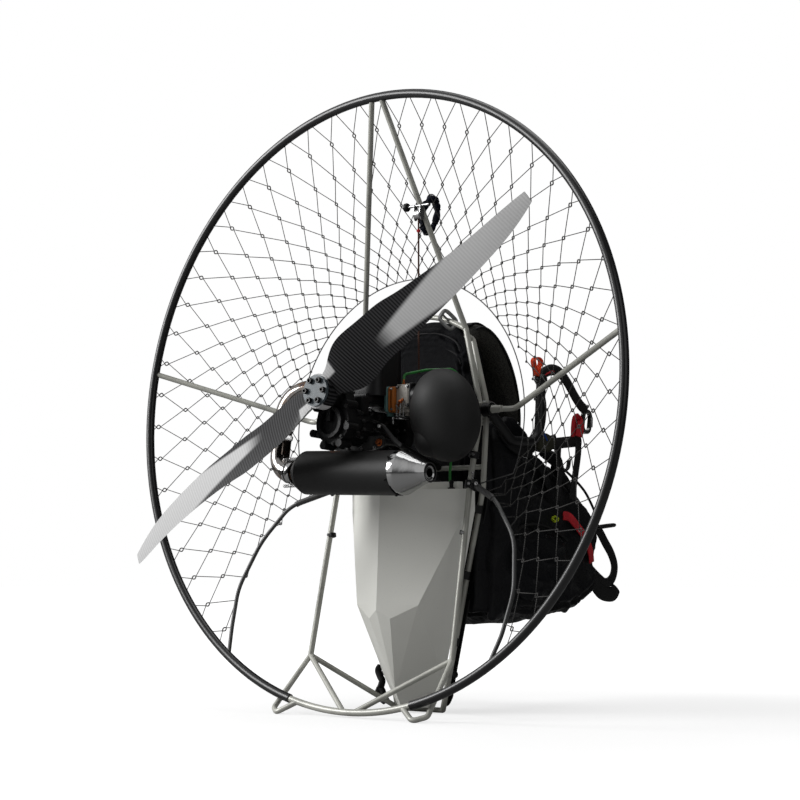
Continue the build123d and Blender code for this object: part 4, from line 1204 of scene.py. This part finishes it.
def tube_clamps():
    """Clamps, knobs, clips, sleeves and straps on the uprights and bows."""
    black = Form()
    silver = Form()
    outward = Vector((0.45, -0.88, 0.1)).normalized()
    for height, near, radius, half in ((0.572, (0.199, 0.142), 11.5, 8), (0.507, (0.200, 0.135), 11.5, 9),
                                       (0.400, (0.180, 0.118), 8.8, 5)):
        centre, along = tube_run("uprights_rear", height, near, 0.02)
        black.lathe([(radius * 0.8, -half), (radius, 1 - half), (radius, half - 1), (radius * 0.8, half)],
                    centre, along)
        silver.screw(centre + outward * (radius / 1000), outward, 3.5, 4)
    clamp, second, third = BOW[:3]
    toward = (second - clamp).normalized()
    for back in (0.006, 0.0005):
        black.lathe([(9, 0), (12.8, 1), (12.8, 8), (9, 9)], clamp - toward * back, toward, 10)
    silver.lathe([(2.2, 0), (2.2, 16), (4.5, 16.5), (4.5, 19.5), (0.1, 20.5)], clamp + at(-6, 0, 10), UP,
                 12)
    silver.screw(clamp + at(10, -10, 2), (0.7, -0.7, 0.1), 4.2, 6)
    sleeve = smooth([clamp + toward * 0.008, clamp.lerp(second, 0.6), second, second.lerp(third, 0.6)], 4)
    for height, near in ((0.308, (0.138, 0.200)), (0.455, (0.172, 0.190)), (0.160, (0.100, 0.200))):
        centre, along = tube_run("uprights_front", height, near, -0.02)
        black.sweep([centre - along * 0.009, centre + along * 0.009], band(26, 17), FORTH)
    strap = []
    near = (0.188, 0.188)
    for height in (0.50, 0.455, 0.40, 0.35, 0.308, 0.25, 0.20, 0.16, 0.11, 0.07, 0.045):
        centre = tube_centre("uprights_front", height, near)
        near = (centre.x - 0.004, centre.y)
        strap.append(centre + at(4, 12.5, 0))
    black.sweep(smooth(strap, 3), band(13, 2.8), ACROSS)
    black.sweep(smooth([strap[-1], at(75, 216, 36), at(67, 214, 20), at(60, 206, 14)], 5), band(14, 2.8),
                ACROSS)
    foot = tube_centre("uprights_front", 0.086, (0.090, 0.200))
    black.lathe([(4, 0), (8, 1), (9, 6), (8, 11), (3, 12.5)], foot + at(10, -2, 0), (1, -0.2, 0.1), 14)
    black.mirrored().piece("tube_clamps", "black_plastic", "frame")
    silver.mirrored().piece("clamp_screws", "zinc", "steel")
    Form().sweep(sleeve, circle(6.8, 16)).mirrored().piece("bow_sleeves", "bow", "strut")

    slant = Vector((0.75, 0.6, 0))
    hook = Form().run([(-127, 210, 99), (-134, 210, 88), (-128, 210, 74), (-122, 210, 64), (-126, 209, 50),
                       (-133, 209, 38), (-126, 210, 24), (-112, 210, 15)], band(16, 6), slant, 5)
    hook.run([(-133, 208, 52), (-122, 210, 44), (-116, 210, 30), (-106, 210, 18)], band(14, 5), slant, 5)
    hook.soft_piece("strap_hook", "black_plastic", "frame")


def muffler_fittings():
    """Collars, seam rivets, end cone, springs and the strap that ties the header down."""
    low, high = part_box("muffler")
    slope = 0.035
    axis = Vector((1, 0, -slope)).normalized()
    middle = Vector((-0.010, (low.y + high.y) / 2, 0.5325))
    rivets = Form()
    for along in (-0.149, 0.146):
        for turn in range(20, 380, 60):
            out = FORTH * cos(radians(turn)) + Vector((slope, 0, 1)) * sin(radians(turn))
            for place, normal in touch("muffler", middle + axis * along + out * 0.12, -out):
                rivets.screw(place - normal * 0.001, normal, 3.2, 3.4, 12)
    rivets.piece("muffler_rivets", "black_steel", "exhaust_black")

    collar = Form()
    collar.lathe([(21.5, 0), (26.5, 1), (27.5, 4), (27.5, 11), (26.5, 14), (22.5, 14.5)],
                 at(-183.5, -35, 538.5), axis, 40, True)
    collar.lathe([(21.5, 0), (24.2, 0.5), (24.2, 5), (21.5, 5.5)], at(-194, -35, 539), axis, 36, True)
    collar.lathe([(9.5, 0), (12, -1.2), (15, 0.8), (17, 0.4), (17.5, -3)], at(219.5, -35, 524.5), axis, 36,
                 True)
    collar.piece("exhaust_collars", "chrome", "chrome")

    cone_low, cone_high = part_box("muffler_end_cone")
    half = (cone_high - cone_low) / 2
    start = Vector((cone_low.x, middle_of("muffler_end_cone").y, middle_of("muffler").z - 0.0035))
    profile = [(0, 0.985), (0.6, 1.0), (13, 1.0), (15, 0.992), (17, 0.972), (30, 0.850), (45, 0.705),
               (60, 0.560), (68, 0.490), (70.5, 0.478), (72.5, 0.478), (73.5, 0.462), (80, 0.450),
               (82.5, 0.440)]
    wall = 0.045
    profile += [(x, share - wall) for x, share in reversed(profile)]
    cone = Form().stack([loop(start + axis * (x / 1000), FORTH * half.y * share, UP * half.z * share, 72)
                         for x, share in profile], True)
    cone = cone.piece("muffler_cone", "chrome", "chrome", sharp=50)
    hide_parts("muffler_end_cone")

    springs = Form()
    for z in (568, 508):
        springs.sweep(coil(at(-196, -47, z), FORTH * 0.0032, UP * 0.0032, at(0.62, 0, 0), 73),
                      circle(0.8, 6))
    springs.piece("exhaust_springs", "zinc", "steel")
    strap = Form().lathe([(22.2, 0), (24, 1), (24, 11), (22.2, 12)], at(-223.5, -35, 612), UP, 32, True)
    strap.sweep([at(-200, -44, 618), at(-186, -46, 618), at(-172, -44, 614)], band(12, 4), UP)
    strap.piece("header_clamp", "zinc", "steel")


def airbox():
    """Egg-shaped intake silencer, leaning to the left, with a parting bead round its edge."""
    centre = at(178, 70, 656.5)
    reach = at(82, 70, 102.5)
    lean = 0.10

    def spot(rise, turn, swell=1.0):
        """A point of the dome at an angle up and an angle round."""
        out = abs(cos(rise)) ** 0.96 * swell
        point = Vector((reach.x * cos(turn) * out, reach.y * sin(turn) * out, reach.z * sin(rise)))
        return centre + point - ACROSS * point.z * lean

    rings, sides = 36, 64
    dome = Form().stack([[spot(pi * (ring / rings - 0.5) * 0.9995, 2 * pi * side / sides)
                          for side in range(sides)]
                         for ring in range(rings + 1)])
    dome = dome.piece("airbox_dome", "airbox", "shroud")
    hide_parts("airbox")
    seam = 0.45
    path = [spot(pi * (number / 24 - 0.5), seam, 1.004) for number in range(25)]
    path += [spot(pi * (0.5 - number / 24), seam + pi, 1.004) for number in range(1, 24)]
    Form().sweep(path, circle(1.1, 6), closed=True).soft_piece("airbox_bead", "airbox", "shroud")


def carburettor():
    """Manifold, insulator, gasket stack, body and flange, with their screws and linkage."""
    body = Form().block((73.5, 30, 672.5), (109.5, 66, 728), 3)
    body.block((78, 28.5, 679), (105, 31, 722), 1).block((76, 36, 664), (106, 60, 673))
    body.lathe([(8.5, 0), (8.5, 10), (7, 11.5), (0.1, 12)], at(93, 48, 658), UP, 20)
    body.block((73.5, 28.5, 672.5), (78.5, 66, 728), 1).block((105.5, 28.5, 672.5), (109.5, 66, 728), 1)
    body = body.piece("carburettor_body", "carburettor", "engine")
    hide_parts("carburettor")
    teal = Form().block((51.5, 12, 665), (59.8, 68, 723.5)).block((51.5, 20, 657), (59.8, 40, 666))
    teal.piece("insulator_plate", "teal", "engine")
    amber = Form().block((60, 16, 665.5), (63.8, 66, 722.5), 1).block((64, 24, 670), (68.6, 62, 719), 1)
    amber.block((68.8, 17, 666), (73.2, 64, 722.5), 1).piece("gasket_stack", "orange_gasket", "engine")

    dark = Form().lathe([(20, 0), (20, 20), (17.5, 20.5), (17.5, 22)], at(30, 46, 694), ACROSS, 32)
    dark.block((109.7, 26, 669), (116.5, 68, 730))
    dark.lathe([(20, 0), (21.5, 2), (21.5, 18), (24, 25), (24, 31), (21.5, 33)], at(116, 44, 700), ACROSS,
               36)
    steel = Form()
    for x in (77, 106):
        for z in (680, 721.5):
            dark.lathe([(0.1, 0), (4.2, 0), (4.2, 0.6), (0.1, 0.8)], at(x, 28.5, z), BACKWARD, 20)
            steel.screw(at(x, 27.9, z), BACKWARD, 2.9, 3.6, 14)
    for z in (716.5, 672):
        steel.screw(at(71, 17, z), BACKWARD, 2.6, 4.5, 14)
    steel.run([(88, 26, 688), (88, 25, 672), (87, 25, 660), (87, 25, 650)], circle(1.3, 8))
    steel.run([(98, 27, 690), (98, 25, 675), (97, 25, 660), (97, 25, 652)], circle(1.1, 8))
    steel.sweep([at(68, 25, 652), at(103, 25, 650)], circle(1.7, 8))
    for x, z, radius in ((68, 652, 3.8), (87, 651, 3), (97, 651, 2.7), (103, 650, 3.4)):
        steel.lathe([(0.1, -radius), (radius * 0.8, -radius * 0.6), (radius, 0),
                     (radius * 0.8, radius * 0.6), (0.1, radius)], at(x, 25, z), ACROSS, 12)
    steel.sweep([at(68, 25, 652), at(68, 25, 640)], circle(1.5, 8))
    steel.sweep(coil(at(79, 24.5, 655), ACROSS * 0.0026, FORTH * 0.0026, at(0, 0, 0.45), 57),
                circle(0.6, 5))
    steel.piece("carburettor_screws", "zinc", "steel")
    dark.piece("intake_manifold", "duct", "engine")
    brass = Form().sweep([at(79, 27, 679), at(87, 26, 688), at(95, 27, 694)], band(6, 2),
                         Vector((0.6, 0, -0.8)))
    brass.lathe([(4.2, 0), (4.2, 4), (2.6, 4.5), (2.6, 7), (0.1, 7.5)], at(87, 28.5, 688), BACKWARD, 16)
    brass.lathe([(4, 0), (4, 3), (2.4, 3.5), (2.4, 8.5), (3, 9), (2.2, 10.5)], at(88, 37.5, 727.5), UP, 14)
    brass.piece("carburettor_brass", "bronze", "machined")


def engine_details():
    """Cover screws and ribs, base block, mounting bolts, plug, coil and wiring of the engine."""
    screws = Form()
    ribs = Form()
    low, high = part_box("gearbox")
    middle = Vector(((low.x + high.x) / 2, 0, (low.z + high.z) / 2))
    for number in range(12):
        turn = 2 * pi * number / 12 + 0.2
        out = Vector((cos(turn) * (high.x - low.x) / 2, 0, sin(turn) * (high.z - low.z) / 2))
        for place, normal in touch("gearbox", middle + out * 0.84 - FORTH * 0.4, FORTH):
            screws.hex_head(place, normal, 4, 4.5)
        line = [place + normal * 0.0006 for share in (0.30, 0.45, 0.60, 0.72)
                for place, normal in touch("gearbox", middle + out * share - FORTH * 0.4, FORTH)]
        if len(line) == 4 and max(abs((a - b).y) for a, b in zip(line[:-1], line[1:])) < 0.012:
            ribs.sweep(line, band(7, 4.8), FORTH)
    low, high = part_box("crankcase")
    for height in np.linspace(low.z + 0.020, high.z - 0.016, 6):
        for along in (-0.045, -0.010, 0.030, 0.062):
            for place, normal in touch("crankcase", (0.3, along, height), -ACROSS):
                if normal.x > 0.5:
                    ribs.lathe([(6.2, 0), (5.5, 4), (4.8, 4.5)], place - normal * 0.0005, normal, 16)
                    screws.screw(place + normal * 0.0035, normal, 3.4, 3.6, 14)
    for height in (0.600, 0.622, 0.644, 0.666):
        line = [place for along in np.linspace(-0.055, 0.060, 12)
                for place, _ in touch("crankcase", (0.3, along, height), -ACROSS)]
        if len(line) > 3:
            ribs.sweep(line, band(9, 2.8), ACROSS)
    for start in loop(at(0, 400, 626.7), ACROSS * 0.058, UP * 0.058, 8):
        for place, normal in touch("starter_housing", start, BACKWARD):
            screws.screw(place, normal, 3.6, 3.6, 14)
    ribs.block((-43, -30, 684), (40.5, 60, 708), 4).block((4, -48, 655), (40, -22, 700), 4)
    screws.piece("engine_screws", "plate", "engine")
    ribs.piece("engine_ribs", "engine", "engine")

    copper = Form()
    for x in (-67, 67):
        copper.lathe([(4.5, 0), (8.5, 0.5), (8.5, 2.2), (4.5, 2.7)], at(x, -20, 597), BACKWARD)
        copper.lathe([(6.2, 2), (6.2, 7.5), (5, 8.5), (0.1, 8.8)], at(x, -20, 597), BACKWARD, 6)
    copper.piece("mount_bolts", "bronze", "machined")
    silver = Form()
    for x in (-25, 15, 53):
        silver.hex_head(at(x, -20, 586.5), BACKWARD, 3.4, 4)
    silver.screw(at(73.5, -24, 631), (0.2, -1, 0.1), 3.6, 8, 14)
    silver.lathe([(2.4, 0), (2.4, 2), (0.1, 2.2)], at(90.5, 38.5, 625.5), BACKWARD, 12)
    silver.piece("small_bolts", "zinc", "steel")

    black = Form().run([(62, -22, 632), (80, -24, 630), (108, -22, 602), (128, -20, 586)], band(12, 5),
                       Vector((0.5, 0, 0.85)), 4)
    black.block((-58, 60, 712), (-30, 88, 752), 3)
    black.run([(-20, 28, 824), (-24, 30, 846), (-38, 44, 852), (-56, 66, 830), (-58, 74, 790),
               (-46, 76, 752)],
              circle(3.5, 10))
    black.lathe([(6, 0), (8.5, 2), (8.5, 20), (6.5, 26), (4, 30)], at(-20, 28, 806), UP, 20)
    black.run([(97, 9, 654), (112, 14, 650), (128, 60, 640), (140, 120, 620), (150, 176, 600)],
              circle(2.4, 8))
    black.piece("ignition_and_cables", "black_plastic", "engine", sharp=50)


def starter_fittings():
    """Bar, knob, pull handle with its padded cover, and the stop bead of the starter cord."""
    pulley = middle_of("starter_pulley")
    bar = Vector((0.048, pulley.y, pulley.z + 0.0195))
    steel = Form().sweep([bar, bar + ACROSS * 0.060], circle(3.2, 14))
    for x in (-0.0095, 0.0085):
        ring = loop(pulley + Vector((x, 0, 0.004)), FORTH * 0.0085, UP * 0.019, 28)
        steel.stack([ring, [point + ACROSS * 0.002 for point in ring]])
    steel.piece("starter_bracket", "zinc", "steel")
    knob = Form().lathe([(3.5, 0), (8.5, -1), (10, -4), (9.5, -9), (6, -12), (0.1, -12.5)], bar, ACROSS)
    knob.piece("starter_knob", "black_plastic", "frame")
    bead = Form().lathe([(2.2, 0), (4.4, 2), (4.8, 4), (4.4, 6), (2.2, 8)], pulley - UP * 0.042, UP, 16)
    bead.piece("starter_bead", "red", "cord")

    places = points_of(frame["nodes"]["starter_handle"])
    centre = (places.max(axis=0) + places.min(axis=0)) / 2
    _, _, axes = np.linalg.svd(places - places.mean(axis=0), full_matrices=False)
    long_axis, short_axis, thin_axis = (Vector(axis) for axis in axes)
    if long_axis.z < 0:
        long_axis = -long_axis
    half_long, half_short, _ = np.abs((places - centre) @ np.array(axes).T).max(axis=0)
    count = 64
    turns = [2 * pi * number / count for number in range(count)]
    oblong = loop(centre, long_axis * (half_long - 0.008), short_axis * (half_short - 0.007), count, 0.8)
    path = [point + thin_axis * 0.003 * sin(3 * turn) for point, turn in zip(oblong, turns)]
    sizes = [1.0 + 0.16 * sin(9 * turn) + 0.10 * cos(2 * turn) for turn in turns]
    grip = Form().sweep(path, oval(17.5, 15, 14), thin_axis, True, sizes).soft_piece("starter_grip", "navy")
    padded("starter_handle")
    wraps = Form()
    for number in range(4, count, 7):
        along = (path[(number + 1) % count] - path[number - 1]).normalized()
        twist = (along + thin_axis * 0.5).normalized()
        first = twist.orthogonal().normalized()
        radius = 0.0088 * sizes[number]
        wraps.sweep(loop(path[number], first * radius, twist.cross(first) * radius, 16), circle(1.2, 5),
                    closed=True)
    wraps.soft_piece("grip_wraps", "webbing", "webbing")


def tank_fittings():
    """Grip ribs of the filler cap, vent and outlet unions."""
    low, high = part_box("fuel_cap")
    radius = (high.x - low.x) / 2
    grips = Form()
    foot_centre = ((low.x + high.x) / 2, (low.y + high.y) / 2, low.z + 0.003)
    for foot in loop(foot_centre, ACROSS * radius, FORTH * radius, 18):
        grips.sweep([foot, Vector((*foot.xy, high.z - 0.003))], circle(2.4, 8))
    grips.piece("cap_grips", "black_plastic", "tank")
    union = Form()
    for x, y in ((0.090, 0.150), (0.128, 0.155)):
        for top, _ in touch("fuel_tank", (x, y, 0.8), -UP):
            union.lathe([(8.5, 0), (8.5, 3), (4.5, 4), (4.5, 13), (5.6, 14), (3.5, 20)], top, UP, 18)
    union.piece("tank_unions", "black_plastic", "machined")


side_fittings()
tube_clamps()
muffler_fittings()
airbox()
carburettor()
engine_details()
starter_fittings()
tank_fittings()
